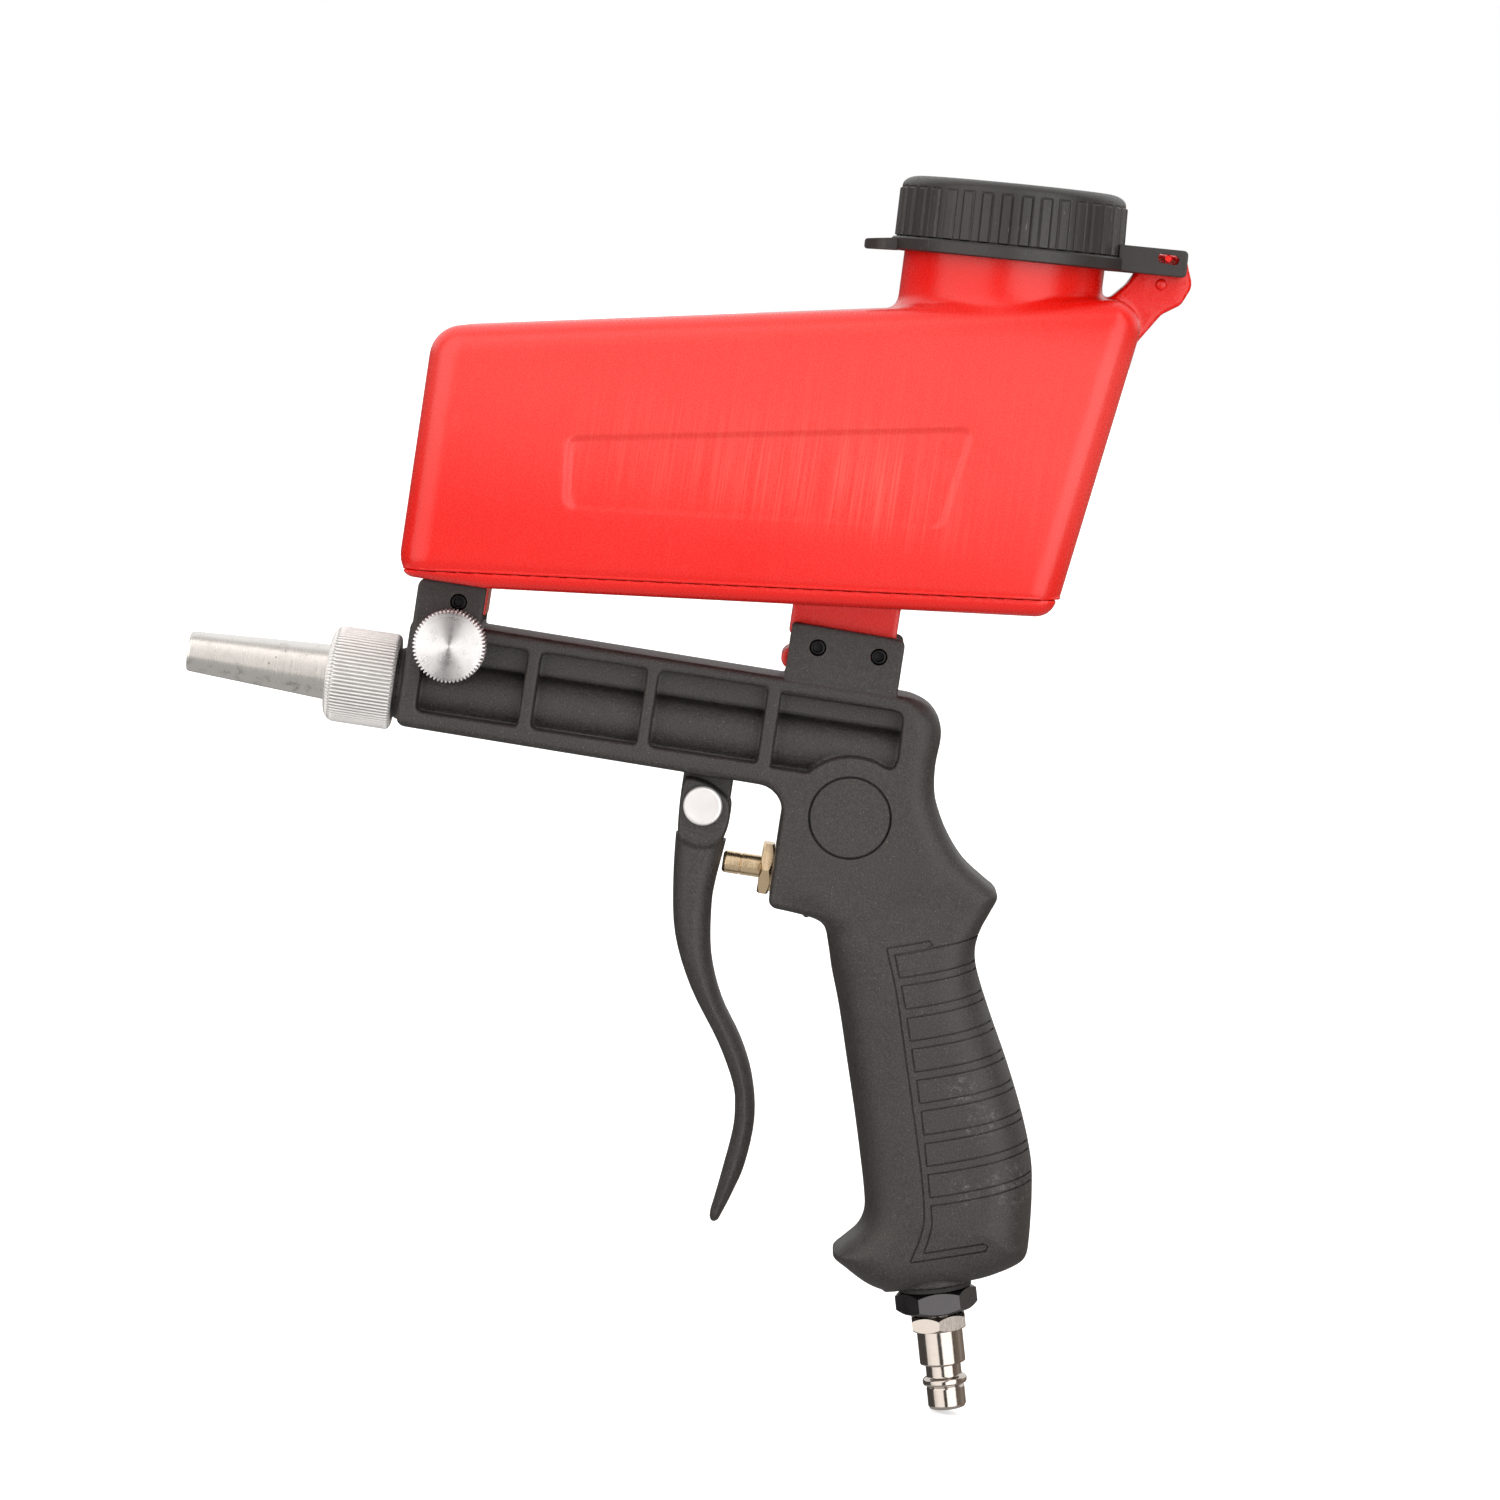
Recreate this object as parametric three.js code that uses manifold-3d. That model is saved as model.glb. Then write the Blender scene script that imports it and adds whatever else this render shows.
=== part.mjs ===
// Gravity-feed sand blaster gun: a die-cast pistol body under a plastic grit hopper with a flip lid.
// Millimetres, +Z up. The nozzle points towards -X and the hand grip hangs down at the rear.
// Every piece is laid out from the centre of the barrel's bore; the whole gun is then moved so that the
// origin is the middle of the hand grip.

import * as THREE from 'three';
import { mergeVertices } from 'three/addons/utils/BufferGeometryUtils.js';
import { ConvexGeometry } from 'three/addons/geometries/ConvexGeometry.js';
import Module from 'manifold-3d';

const wasm = await Module();
wasm.setup();

// ---------------------------------------------------------------- driving dimensions (mm)

const GAP = 0.3;                    // clearance kept between separate pieces

const HAND_GRIP = [63, 0, -90];     // middle of the grip, which becomes the origin

const BODY_HALF = 12.5;             // half width of the barrel casting
const BODY_EDGE = 1.4;              // rounding of its long edges
const WEB_HALF = 8.8;               // half width of the web behind the side pockets
const BARREL_R = 8.8;               // round barrel that shows inside the pockets
const POCKET_TOP = 14.2;
const POCKET_BOTTOM = -5.6;
const POCKETS = [[-88.2, -61], [-57.6, -29.2], [-25.6, 2.3]];   // front and rear end of three pockets
const GRIT_BORE_R = 6.5;            // mixing chamber behind the nozzle
const JET_BORE_R = 4.6;             // long bore that holds the air jet
const AIR_BORE_R = 3.2;             // air passages

const PAD = { x: 28.1, z: -15.8, r: 10.5 };       // plain round pad on each side of the body

const SPOUT = { x: -80.2, halfX: 7.3, halfY: 8, bottom: 21.1 };   // hopper spout in the front socket
const SOCKET = { front: -90.9, back: -73.3, top: 27.2, floor: 19.4 };
const LEG = { front: 5.3, back: 33, halfY: 8, bottom: 18.4 };     // hopper leg between the rear ears
const EARS = { front: 5.9, back: 35.4, top: 32 };
const EAR_HALF = 11.9;               // half width of the post and the rear ears
const SET_SCREW_R = 2;
const SET_SCREW_FACE = -11.7;        // outer end of the set screws
const SET_SCREWS = { front: [-79.9, 23.9], rear_1: [13.3, 26.3], rear_2: [29.2, 26.3] };

const FLOW = { x: -80.2, z: 12.9, r: 4.2, hole: 3 };   // rotary grit valve across the barrel
const KNOB = { r: 9.4, inner: 13.3, outer: 21 };

const NECK = { r: 9.4, thread: 8.2, shoulder: -95.4, end: -105.6 };   // barrel end under the collar
const COLLAR = { front: -111.4, back: -94.9, r: 12.5 };
const NOZZLE = { tip: -148, tipR: 5.25, rootR: 7.3, bore: 3.1, flangeR: 9.2, flange: 3 };

const PIVOT = { x: -9.9, z: -18.9 };                   // trigger pin
const LUG_HALF = 4.6;
const TRIGGER_HALF = 8;

const VALVE_Z = -33.2;                                 // plunger axis, parallel to the barrel
const VALVE = { tip: -2.7, nutFront: 7.2, nutBack: 10.2, face: 10.5, seat: 25, end: 50 };

const HOPPER = { half: 31, edge: 8, wall: 2.4, baseEdge: 4.5, baseInset: 0.8 };
const HOPPER_CORNERS = [[-95.8, 93.3], [83.1, 127.6], [71.4, 43.4], [-95.8, 27.2]];
const SEAM = { x: -72.8, z: 33.5, slope: 0.1045 };     // joint between the shell and the base
const FLOOR = { x: -72, z: 29.3, slope: 0.097 };       // underside of the base

const LID = { x: 46.6, z: 131.8, tilt: 3, r: 29.7, height: 19.4, rim: 30.3, rimHeight: 3.8 };
const FILL_NECK = { r: 25.9, wall: 2.2, top: 14.2, lean: 1.2, shift: -0.6 };
const HINGE = { x: 86.9, z: 138.4, peg: 0.95, web: 5.6, lug: 9.2 };

const PLUG = { x: 77.4, z: -166.8, lean: 14.8 };       // centre of the plug's open end, and its lean

// ---------------------------------------------------------------- geometry helpers

const degrees = THREE.MathUtils.degToRad;
const vec = (x, y, z) => new THREE.Vector3(x, y, z);
const X = vec(1, 0, 0);
const Y = vec(0, 1, 0);
const Z = vec(0, 0, 1);

// A closed three.js geometry as a solid with its faces pointing out.
function solid(source) {
  const bare = source.clone();
  bare.deleteAttribute('normal');
  bare.deleteAttribute('uv');
  const welded = mergeVertices(bare, 1e-4);
  const at = welded.getAttribute('position');
  const index = welded.index.array;
  const triangles = [];
  let volume = 0;
  const [a, b, c] = [vec(), vec(), vec()];
  for (let i = 0; i < index.length; i += 3) {
    const [p, q, r] = [index[i], index[i + 1], index[i + 2]];
    if (p === q || q === r || r === p) continue;
    triangles.push([p, q, r]);
    b.fromBufferAttribute(at, q).cross(c.fromBufferAttribute(at, r));
    volume += a.fromBufferAttribute(at, p).dot(b);
  }
  const outward = volume > 0 ? triangles : triangles.map(([p, q, r]) => [p, r, q]);
  return new wasm.Manifold(new wasm.Mesh({
    numProp: 3,
    vertProperties: new Float32Array(at.array),
    triVerts: new Uint32Array(outward.flat()),
  }));
}

const join = (...solids) => solids.reduce((all, one) => all.add(one));
const cut = (from, ...tools) => tools.reduce((left, tool) => left.subtract(tool), from);

// Rounds the corners [x, z, radius] of a closed outline.
function outline(corners) {
  const shape = new THREE.Shape();
  corners.forEach(([x, z, radius = 0], i) => {
    const before = corners.at(i - 1);
    const after = corners[(i + 1) % corners.length];
    const corner = new THREE.Vector2(x, z);
    const back = new THREE.Vector2(before[0] - x, before[1] - z).normalize();
    const ahead = new THREE.Vector2(after[0] - x, after[1] - z).normalize();
    const reach = radius / Math.tan(Math.acos(THREE.MathUtils.clamp(back.dot(ahead), -1, 1)) / 2);
    const start = back.multiplyScalar(reach).add(corner);
    if (i === 0) shape.moveTo(start.x, start.y);
    else shape.lineTo(start.x, start.y);
    if (radius > 0) {
      const end = ahead.multiplyScalar(reach).add(corner);
      shape.quadraticCurveTo(x, z, end.x, end.y);
    }
  });
  shape.closePath();
  return shape;
}

// An XZ outline made thick along Y, with its edges rounded by bevel.
function slab(shape, from, to, bevel = 0, curveSegments = 3) {
  const geometry = new THREE.ExtrudeGeometry(shape, {
    depth: to - from - 2 * bevel, bevelEnabled: bevel > 0, bevelThickness: bevel, bevelSize: bevel,
    bevelOffset: -bevel, bevelSegments: 1, curveSegments,
  });
  geometry.rotateX(Math.PI / 2);
  geometry.translate(0, to - bevel, 0);
  return solid(geometry);
}

// A rectangular block between two X, two Y and two Z values.
function block(x0, x1, y0, y1, z0, z1) {
  const geometry = new THREE.BoxGeometry(x1 - x0, y1 - y0, z1 - z0);
  geometry.translate((x0 + x1) / 2, (y0 + y1) / 2, (z0 + z1) / 2);
  return solid(geometry);
}

// Moves a geometry made along +Y so that its base is at a point and it runs along a direction.
function aim(geometry, point, direction) {
  const turn = new THREE.Quaternion().setFromUnitVectors(vec(0, 1, 0), direction.clone().normalize());
  geometry.applyQuaternion(turn);
  geometry.translate(point.x, point.y, point.z);
  return geometry;
}

// A round bar between two points; six segments make a hexagon.
function bar(from, to, radius, segments = 20, turn = 0) {
  const along = to.clone().sub(from);
  const geometry = new THREE.CylinderGeometry(radius, radius, along.length(), segments);
  geometry.rotateY(turn);
  geometry.translate(0, along.length() / 2, 0);
  return solid(aim(geometry, from, along));
}

// A hexagon bar by its width across flats.
const hexBar = (from, to, acrossFlats, turn = 0) => bar(from, to, acrossFlats / Math.sqrt(3), 6, turn);

// A turned piece: [radius, distance] pairs along a direction from a point, closed on the axis.
function turned(profile, point, direction, segments = 24) {
  const points = profile.map(([radius, distance]) => new THREE.Vector2(radius, distance));
  return solid(aim(new THREE.LatheGeometry(points, segments), point, direction));
}

// A flat ring of square section, and one of round section.
function washer(point, direction, outer, inner, thickness, segments = 24) {
  const profile = [[inner, 0], [outer, 0], [outer, thickness], [inner, thickness], [inner, 0]];
  return turned(profile, point, direction, segments);
}

function oRing(point, direction, radius, section) {
  const profile = Array.from({ length: 7 }, (_, i) => {
    const angle = i * Math.PI / 3;
    return [radius + section * Math.cos(angle), section * Math.sin(angle)];
  });
  return turned(profile, point, direction, 16);
}

// A closed skin through rings of points, with flat ends.
function loft(rings) {
  const count = rings[0].length;
  const points = rings.flat();
  const index = [];
  for (let ring = 0; ring < rings.length - 1; ring += 1) {
    for (let i = 0; i < count; i += 1) {
      const [a, b] = [ring * count + i, ring * count + (i + 1) % count];
      index.push(a, b, b + count, a, b + count, a + count);
    }
  }
  [[0, true], [rings.length - 1, false]].forEach(([ring, first]) => {
    const centre = points.length;
    points.push(rings[ring].reduce((sum, point) => sum.add(point), vec(0, 0, 0)).divideScalar(count));
    for (let i = 0; i < count; i += 1) {
      const [a, b] = [ring * count + i, ring * count + (i + 1) % count];
      index.push(...(first ? [centre, b, a] : [centre, a, b]));
    }
  });
  const geometry = new THREE.BufferGeometry().setFromPoints(points);
  geometry.setIndex(index);
  return solid(geometry);
}

// The convex skin around balls of one radius at the given centres.
function hullOfBalls(centres, radius) {
  const ball = new THREE.SphereGeometry(radius, 16, 8).getAttribute('position');
  const points = centres.flatMap((centre) => Array.from({ length: ball.count },
    (_, i) => vec().fromBufferAttribute(ball, i).add(centre)));
  return solid(new ConvexGeometry(points));
}

// ---------------------------------------------------------------- die-cast body

// Front and back edge of the grip and half its thickness, from the top of the casting to its foot.
const GRIP_SECTIONS = [
  [24, 12.4, 41.8, 16.8, 10], [21, 8, 46.2, 13.2, 11.6], [19, 1, 48, 7.8, 12.3],
  [17, -7, 47.5, 0.5, 12.5], [15, -14, 48.8, -7, 12.6], [13, -22, 52.7, -15.6, 12.8],
  [13, -30, 58.7, -23.1, 13], [14, -36, 65, -27.6, 13],
  [15, -40.5, 69.3, -31, 13.2], [20, -43, 67.7, -35.4, 13.4], [24.5, -45.4, 66, -40.4, 13.8],
  [27.3, -51, 65.6, -46, 14.2], [29.5, -56.5, 67.2, -51.5, 14.6], [33, -66, 72, -61.5, 15],
  [37, -79, 78.6, -74, 15], [41, -92, 84.7, -87, 15], [44.3, -103.5, 88.7, -97.5, 15],
  [46.6, -112, 90.1, -106, 15], [47.8, -117.8, 90.9, -112.5, 15], [46.8, -122, 91.2, -118, 15],
  [43.8, -126.4, 91.2, -121.7, 14.8], [41.2, -129.8, 90.6, -124, 14.2], [43.7, -132.1, 88, -126, 13.4],
  [49, -135.3, 84, -128.1, 12], [54.5, -137.2, 79, -130.2, 10],
];

function gripSection([frontX, frontZ, backX, backZ, half]) {
  const centre = vec((frontX + backX) / 2, 0, (frontZ + backZ) / 2);
  const reach = vec(backX - frontX, 0, backZ - frontZ).divideScalar(2);
  const squareness = 2 / 2.7;
  const swell = (value) => Math.sign(value) * Math.abs(value) ** squareness;
  const count = 18;
  return Array.from({ length: count }, (_, i) => {
    const angle = i / count * 2 * Math.PI;
    const point = centre.clone().addScaledVector(reach, swell(Math.cos(angle)));
    point.y = half * swell(Math.sin(angle));
    return point;
  });
}

function plugPoint(distance) {
  const lean = degrees(PLUG.lean);
  return vec(PLUG.x - distance * Math.sin(lean), 0, PLUG.z + distance * Math.cos(lean));
}
const PLUG_UP = plugPoint(1).sub(plugPoint(0));

const alongX = (x, z = 0) => vec(x, 0, z);
const alongY = (x, z) => (y) => vec(x, y, z);
const flowAt = alongY(FLOW.x, FLOW.z);
const pivotAt = alongY(PIVOT.x, PIVOT.z);

function pocketOutline([front, back]) {
  return outline([[front, POCKET_BOTTOM, 1.4], [back, POCKET_BOTTOM, 0.6], [back, POCKET_TOP, 0.6],
    [front, POCKET_TOP, 1.4]]);
}

// The rearmost pocket curves round the pad below it.
function rearPocketOutline() {
  const shape = new THREE.Shape();
  const ring = PAD.r + 5.2;
  shape.moveTo(5.9, -6.1);
  shape.lineTo(15.9, -6.1);
  shape.absarc(PAD.x, PAD.z, ring, degrees(141), degrees(62), true);
  shape.quadraticCurveTo(38.2, -2.6, 38.1, 0.6);
  shape.lineTo(37.9, 10.6);
  shape.quadraticCurveTo(37.9, 13.1, 35.4, 13.2);
  shape.lineTo(5.9, 13.6);
  shape.closePath();
  return shape;
}

function bothSides(shape, from, to, curveSegments = 3) {
  return join(slab(shape, from, to, 0, curveSegments), slab(shape, -to, -from, 0, curveSegments));
}

function gunBody() {
  const castingOutline = outline([[-91.4, 18.2, 2.4], [41.6, 17.1, 7], [46.3, 9, 4], [46.2, -9, 8],
    [58, -30, 8], [30, -43.2, 6], [10.6, -42.2, 2.4], [10.6, -11.1, 7.5], [-91.6, -10.1, 2.4]]);
  const casting = slab(castingOutline, -BODY_HALF, BODY_HALF, BODY_EDGE);
  const grip = loft(GRIP_SECTIONS.map(gripSection));
  const pocketShapes = [...POCKETS.map(pocketOutline), rearPocketOutline()];
  const pockets = pocketShapes.map((shape) => bothSides(shape, 4.5, 13.5));
  const barrel = bar(alongX(-90), alongX(40), BARREL_R, 32);
  const web = block(-90, 39, -WEB_HALF, WEB_HALF, 8.4, 16);
  const flowBoss = bar(flowAt(-12.6), flowAt(12.6), 6.4, 32);
  const lug = slab(outline([[-16.1, -8], [-16.1, -18, 5], [-12, -25.6, 5], [-6, -25.6, 4], [-3.1, -18, 5],
    [-3.1, -8]]), -LUG_HALF, LUG_HALF, 0.5);
  const socket = slab(outline([[SOCKET.front, 16], [SOCKET.front, SOCKET.top, 1.4],
    [SOCKET.back, SOCKET.top, 1], [SOCKET.back, 16]]), -EAR_HALF, EAR_HALF, 0.4);
  const ears = slab(outline([[EARS.front, 15], [EARS.front, EARS.top, 1], [EARS.back, EARS.top - 0.5, 1.2],
    [EARS.back, 15]]), -EAR_HALF, EAR_HALF, 0.4);
  const neck = join(bar(alongX(NECK.shoulder), alongX(-90), NECK.r, 40),
    bar(alongX(NECK.end), alongX(-90), NECK.thread, 40));
  const foot = bar(plugPoint(33.5), plugPoint(40), 10.8, 20);

  const spoutFront = SPOUT.x - SPOUT.halfX - GAP;
  const spoutSide = SPOUT.halfY + 0.4;
  const spoutRoom = block(spoutFront, SOCKET.back + 5, -spoutSide, spoutSide, SOCKET.floor, 40);
  const legRoom = block(EARS.front - 3, EARS.back + 3, -LEG.halfY - 0.4, LEG.halfY + 0.4, 18.1, 40);
  const screwHoles = Object.values(SET_SCREWS).map(([x, z]) =>
    bar(alongY(x, z)(-14), alongY(x, z)(-7), SET_SCREW_R + 0.45, 12));
  const grit = bar(vec(SPOUT.x, 0, 0), vec(SPOUT.x, 0, 40), FLOW.hole, 12);
  const flowBore = bar(flowAt(-14), flowAt(14), FLOW.r + GAP, 16);
  const mixing = bar(alongX(NECK.end - 1), alongX(-68), GRIT_BORE_R, 16);
  const jetBore = bar(alongX(-70), alongX(30), JET_BORE_R, 14);
  const riser = bar(alongX(22, VALVE_Z), alongX(22, 0), AIR_BORE_R, 8);
  const valveBore = bar(alongX(VALVE.face - 3, VALVE_Z), alongX(VALVE.end + 0.4, VALVE_Z), 6.4, 20);
  const supply = bar(plugPoint(30), plugPoint(134), 4, 10);
  const inletBore = bar(plugPoint(30), plugPoint(46), 8.2, 16);
  const pinHole = bar(pivotAt(-6), pivotAt(6), 2.8, 20);
  const padRing = ringShape(PAD.x, PAD.z, PAD.r + 0.35, PAD.r - 0.35);
  const padGroove = bothSides(padRing, BODY_HALF - 0.6, 13.6, 12);

  const outside = join(cut(join(casting, grip), ...pockets), barrel, web, flowBoss, lug, socket, ears, neck,
    foot);
  return cut(outside, spoutRoom, legRoom, ...screwHoles, grit, flowBore, mixing, jetBore, riser, valveBore,
    supply, inletBore, pinHole, padGroove);
}

function ringShape(x, z, outer, inner) {
  const shape = new THREE.Shape();
  shape.absarc(x, z, outer, 0, 2 * Math.PI, false);
  const hole = new THREE.Path();
  hole.absarc(x, z, inner, 0, 2 * Math.PI, true);
  shape.holes.push(hole);
  return shape;
}

// ---------------------------------------------------------------- air jet and nozzle

function airJet() {
  const outer = JET_BORE_R - 0.5;
  const groove = 1.3;
  return turned([[1.4, 0], [2.6, 0], [outer, 9], [outer, 79], [outer - groove, 79], [outer - groove, 81.6],
    [outer, 81.6], [outer, 89], [2.3, 89], [2.3, 6], [1.4, 3], [1.4, 0]], alongX(-77.5), X, 16);
}

function nozzle() {
  const { tip, tipR, rootR, bore, flangeR, flange } = NOZZLE;
  const seat = NECK.end - 1.6 - tip;
  const profile = [[bore + 0.4, 0], [tipR - 0.5, 0], [tipR, 0.6], [rootR, seat - flange],
    [flangeR, seat - flange], [flangeR, seat], [5.8, seat], [bore, seat - 12], [bore, 3], [bore + 0.4, 0]];
  return turned(profile, alongX(tip), X, 24);
}

function nozzleCollar() {
  const { front, back, r } = COLLAR;
  const length = back - front;
  const lip = NECK.end - 1.6 - NOZZLE.flange - GAP;
  const nut = turned([[0, 0], [r - 3, 0], [r - 1.2, 0.6], [r - 0.2, 1.6], [r, 2.4], [r, length - 0.8],
    [r - 0.8, length], [0, length]], alongX(front), X, 32);
  return cut(nut, bar(alongX(front - 1), alongX(back + 1), NOZZLE.rootR + 0.4, 24),
    bar(alongX(lip), alongX(back + 1), NECK.thread + 1.4, 24),
    bar(alongX(NECK.shoulder - 0.6), alongX(back + 1), NECK.r + 0.4, 24));
}

// ---------------------------------------------------------------- air valve

function valveStem() {
  const groove = 1.1;
  const rod = [[0, 0], [2.2, 0], [2.9, 0.8], [2.9, 13], [2.9 - groove, 13], [2.9 - groove, 15], [2.9, 15],
    [2.9, 21.6], [1.8, 23.2], [1.8, 34.2], [4.9, 34.2], [4.9, 37.2], [1.8, 37.2], [1.8, 43], [1.2, 43.6],
    [0, 43.6]];
  return turned(rod, alongX(VALVE.tip, VALVE_Z), X, 16);
}

function valveGlandNut() {
  const hex = hexBar(alongX(VALVE.nutFront, VALVE_Z), alongX(VALVE.nutBack, VALVE_Z), 13.1);
  const crown = turned([[0, 0], [6.6, 0], [7.7, 1.2], [7.7, 1.9], [6.9, 3], [0, 3]],
    alongX(VALVE.nutFront, VALVE_Z), X, 24);
  const shank = bar(alongX(VALVE.nutBack - 0.5, VALVE_Z), alongX(19, VALVE_Z), 6, 28);
  return cut(join(hex.intersect(crown), shank), bar(alongX(6, VALVE_Z), alongX(20, VALVE_Z), 3.3, 24));
}

function valveSpring() {
  const turns = 5;
  const [from, to] = [34.9, 49.4];
  const wire = 0.5;
  class Helix extends THREE.Curve {
    getPoint(t, target = vec()) {
      const angle = t * turns * 2 * Math.PI;
      return target.set(from + wire + t * (to - from - 2 * wire), 3.7 * Math.cos(angle),
        VALVE_Z + 3.7 * Math.sin(angle));
    }
  }
  const section = new THREE.Shape();
  section.absarc(0, 0, wire, 0, 2 * Math.PI, false);
  const sweep = { steps: turns * 12, curveSegments: 3, extrudePath: new Helix() };
  return solid(new THREE.ExtrudeGeometry(section, sweep));
}

// ---------------------------------------------------------------- trigger

function trigger() {
  const blade = new THREE.Shape();
  blade.moveTo(-16.1, -12.4);
  blade.quadraticCurveTo(-15.8, -11.6, -14.4, -11.6);
  blade.quadraticCurveTo(-8.4, -12, -4.2, -14.8);
  blade.quadraticCurveTo(-2.3, -16.2, -2.2, -20);
  const through = (points) => blade.splineThru(points.map(([x, z]) => new THREE.Vector2(x, z)));
  through([[-2.9, -30], [-3.6, -38], [-3.8, -45], [-2, -57.6], [2.4, -68.6], [8.8, -78.2], [13.2, -87.4],
    [15.7, -98.5], [15, -110.6], [11, -124.4]]);
  blade.quadraticCurveTo(9.6, -127.6, 7.9, -125.4);
  through([[9.4, -113.6], [10.5, -103], [8.6, -90], [3.2, -80], [-6, -66.8], [-12.1, -53.6], [-14.7, -39.6],
    [-15.9, -26]]);
  blade.closePath();
  const plate = slab(blade, -TRIGGER_HALF, TRIGGER_HALF, 0.9, 3);
  const forkHalf = LUG_HALF + 0.4;
  const forkRoom = slab(outline([[-20, -8], [-20, -27.6], [0, -27.6], [0, -8]]), -forkHalf, forkHalf);
  return cut(plate, forkRoom, bar(pivotAt(-9), pivotAt(9), 2.8, 20));
}

// Pin with a broad head on the near side and a clip groove on the far side.
function triggerPin() {
  const profile = [[0, 0], [4.4, 0], [5.05, 0.5], [5.05, 2], [2.4, 2], [2.4, 18.7], [1.7, 18.7],
    [1.7, 20.2], [2.4, 20.2], [2.4, 21.2], [0, 21.2]];
  return turned(profile, pivotAt(-10.4), Y, 20);
}

// ---------------------------------------------------------------- grit valve

function flowKnob() {
  const { r, inner, outer } = KNOB;
  const length = outer - inner;
  const face = turned([[0, 0], [r - 0.8, 0], [r, 0.8], [r, length - 0.5], [r - 0.5, length], [0, length]],
    flowAt(-outer), Y, 32);
  return cut(face, bar(flowAt(-17.6), flowAt(-inner + 1), 3, 16));
}

function flowSpindle() {
  const { r } = FLOW;
  const groove = r - 1.2;
  const profile = [[0, 0], [2.7, 0], [2.7, 4.4], [r, 4.4], [r, 6.4], [groove, 6.4], [groove, 8.4], [r, 8.4],
    [r, 25.8], [groove, 25.8], [groove, 27.8], [r, 27.8], [r, 30.5], [groove, 30.5], [groove, 32], [r, 32],
    [r, 33.4], [0, 33.4]];
  const hole = bar(alongX(FLOW.x, FLOW.z - 6), alongX(FLOW.x, FLOW.z + 6), FLOW.hole, 12);
  return cut(turned(profile, flowAt(-17.3), Y, 16), hole);
}

// ---------------------------------------------------------------- hopper

// The hopper's block with rounded edges, drawn in from its outline by an inset.
function hopperHull(inset, radius) {
  const spread = HOPPER.half - inset - radius;
  const centres = HOPPER_CORNERS.flatMap(([x, z], i) => {
    const [before, after] = [HOPPER_CORNERS.at(i - 1), HOPPER_CORNERS[(i + 1) % HOPPER_CORNERS.length]];
    const back = new THREE.Vector2(before[0] - x, before[1] - z).normalize();
    const ahead = new THREE.Vector2(after[0] - x, after[1] - z).normalize();
    const halfAngle = Math.acos(back.dot(ahead)) / 2;
    const centre = back.add(ahead).normalize().multiplyScalar((inset + radius) / Math.sin(halfAngle));
    return [vec(x + centre.x, -spread, z + centre.y), vec(x + centre.x, spread, z + centre.y)];
  });
  return hullOfBalls(centres, radius);
}

// Everything below a sloping line, through the full width.
function below({ x, z, slope }, offset = 0) {
  const height = (at) => z + (at - x) * slope + offset;
  return slab(outline([[-130, -60], [130, -60], [130, height(130)], [-130, height(-130)]]), -60, 60);
}

function lidPoint(along, up) {
  const tilt = degrees(LID.tilt);
  return vec(LID.x + along * Math.cos(tilt) - up * Math.sin(tilt), 0,
    LID.z + along * Math.sin(tilt) + up * Math.cos(tilt));
}
const LID_UP = lidPoint(0, 1).sub(lidPoint(0, 0));

function neckPoint(up) {
  const lean = degrees(FILL_NECK.lean);
  const middle = lidPoint(0, FILL_NECK.top / 2);
  return vec(middle.x + FILL_NECK.shift - (up - FILL_NECK.top / 2) * Math.sin(lean), 0,
    middle.z + (up - FILL_NECK.top / 2) * Math.cos(lean));
}

function hopperShell() {
  const neckBore = bar(neckPoint(-26), neckPoint(FILL_NECK.top + 1), FILL_NECK.r - FILL_NECK.wall, 36);
  const neck = bar(neckPoint(-22), neckPoint(FILL_NECK.top), FILL_NECK.r, 36);
  const bracketOutline = outline([[66, 116], [70, 124.4], [74.4, 127], [77.6, 130.4, 3], [80.6, 136],
    [81.2, 139.2, 2], [91.6, 139.8, 3], [94.4, 132.4, 3], [92.2, 127, 3], [87.6, 124, 2], [82, 116]]);
  const bracket = slab(bracketOutline, -HINGE.web, HINGE.web, 0.5);
  const pegs = bar(vec(HINGE.x, -HINGE.lug, HINGE.z), vec(HINGE.x, HINGE.lug, HINGE.z), HINGE.peg, 16);
  const detents = bar(vec(86.3, -HINGE.web - 0.7, 131.6), vec(86.3, HINGE.web + 0.7, 131.6), 1.4, 16);
  const recess = outline([[-56.6, 53, 3], [40, 62.4, 3.5], [43.9, 88.4, 2], [-56.6, 70.9, 3]]);
  const outside = join(hopperHull(0, HOPPER.edge), neck, bracket, pegs, detents);
  return cut(outside, hopperHull(HOPPER.wall, HOPPER.edge - HOPPER.wall), neckBore, below(SEAM),
    slab(recess, -32, -HOPPER.half + 0.8), slab(recess, HOPPER.half - 0.8, 32));
}

function hopperBase() {
  const { baseInset, baseEdge } = HOPPER;
  const inner = hopperHull(3.4, 3.2);
  const tray = cut(hopperHull(baseInset, baseEdge).intersect(below(SEAM, -GAP)), below(FLOOR));
  const { halfX, halfY, bottom } = SPOUT;
  const spout = block(SPOUT.x - halfX, SPOUT.x + halfX, -halfY, halfY, bottom, 33);
  const leg = cut(block(LEG.front, LEG.back, -LEG.halfY, LEG.halfY, LEG.bottom, 41),
    slab(outline([[4, 18], [6.9, 18], [6.9, 28.6], [4, 29.4]]), -9, 9));
  const bump = bar(vec(7.2, -LEG.halfY, 22.4), vec(7.2, LEG.halfY, 22.4), 2.9, 16);
  const flare = block(SOCKET.front + 0.5, SOCKET.back + 0.4, -11.5, 11.5, SOCKET.top + GAP, 32);
  return cut(join(cut(join(spout, leg, bump, flare), inner), tray), cut(inner, below(FLOOR, 2.8)),
    bar(vec(SPOUT.x, 0, 20), vec(SPOUT.x, 0, 40), 4.2, 16));
}

// ---------------------------------------------------------------- lid

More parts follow.
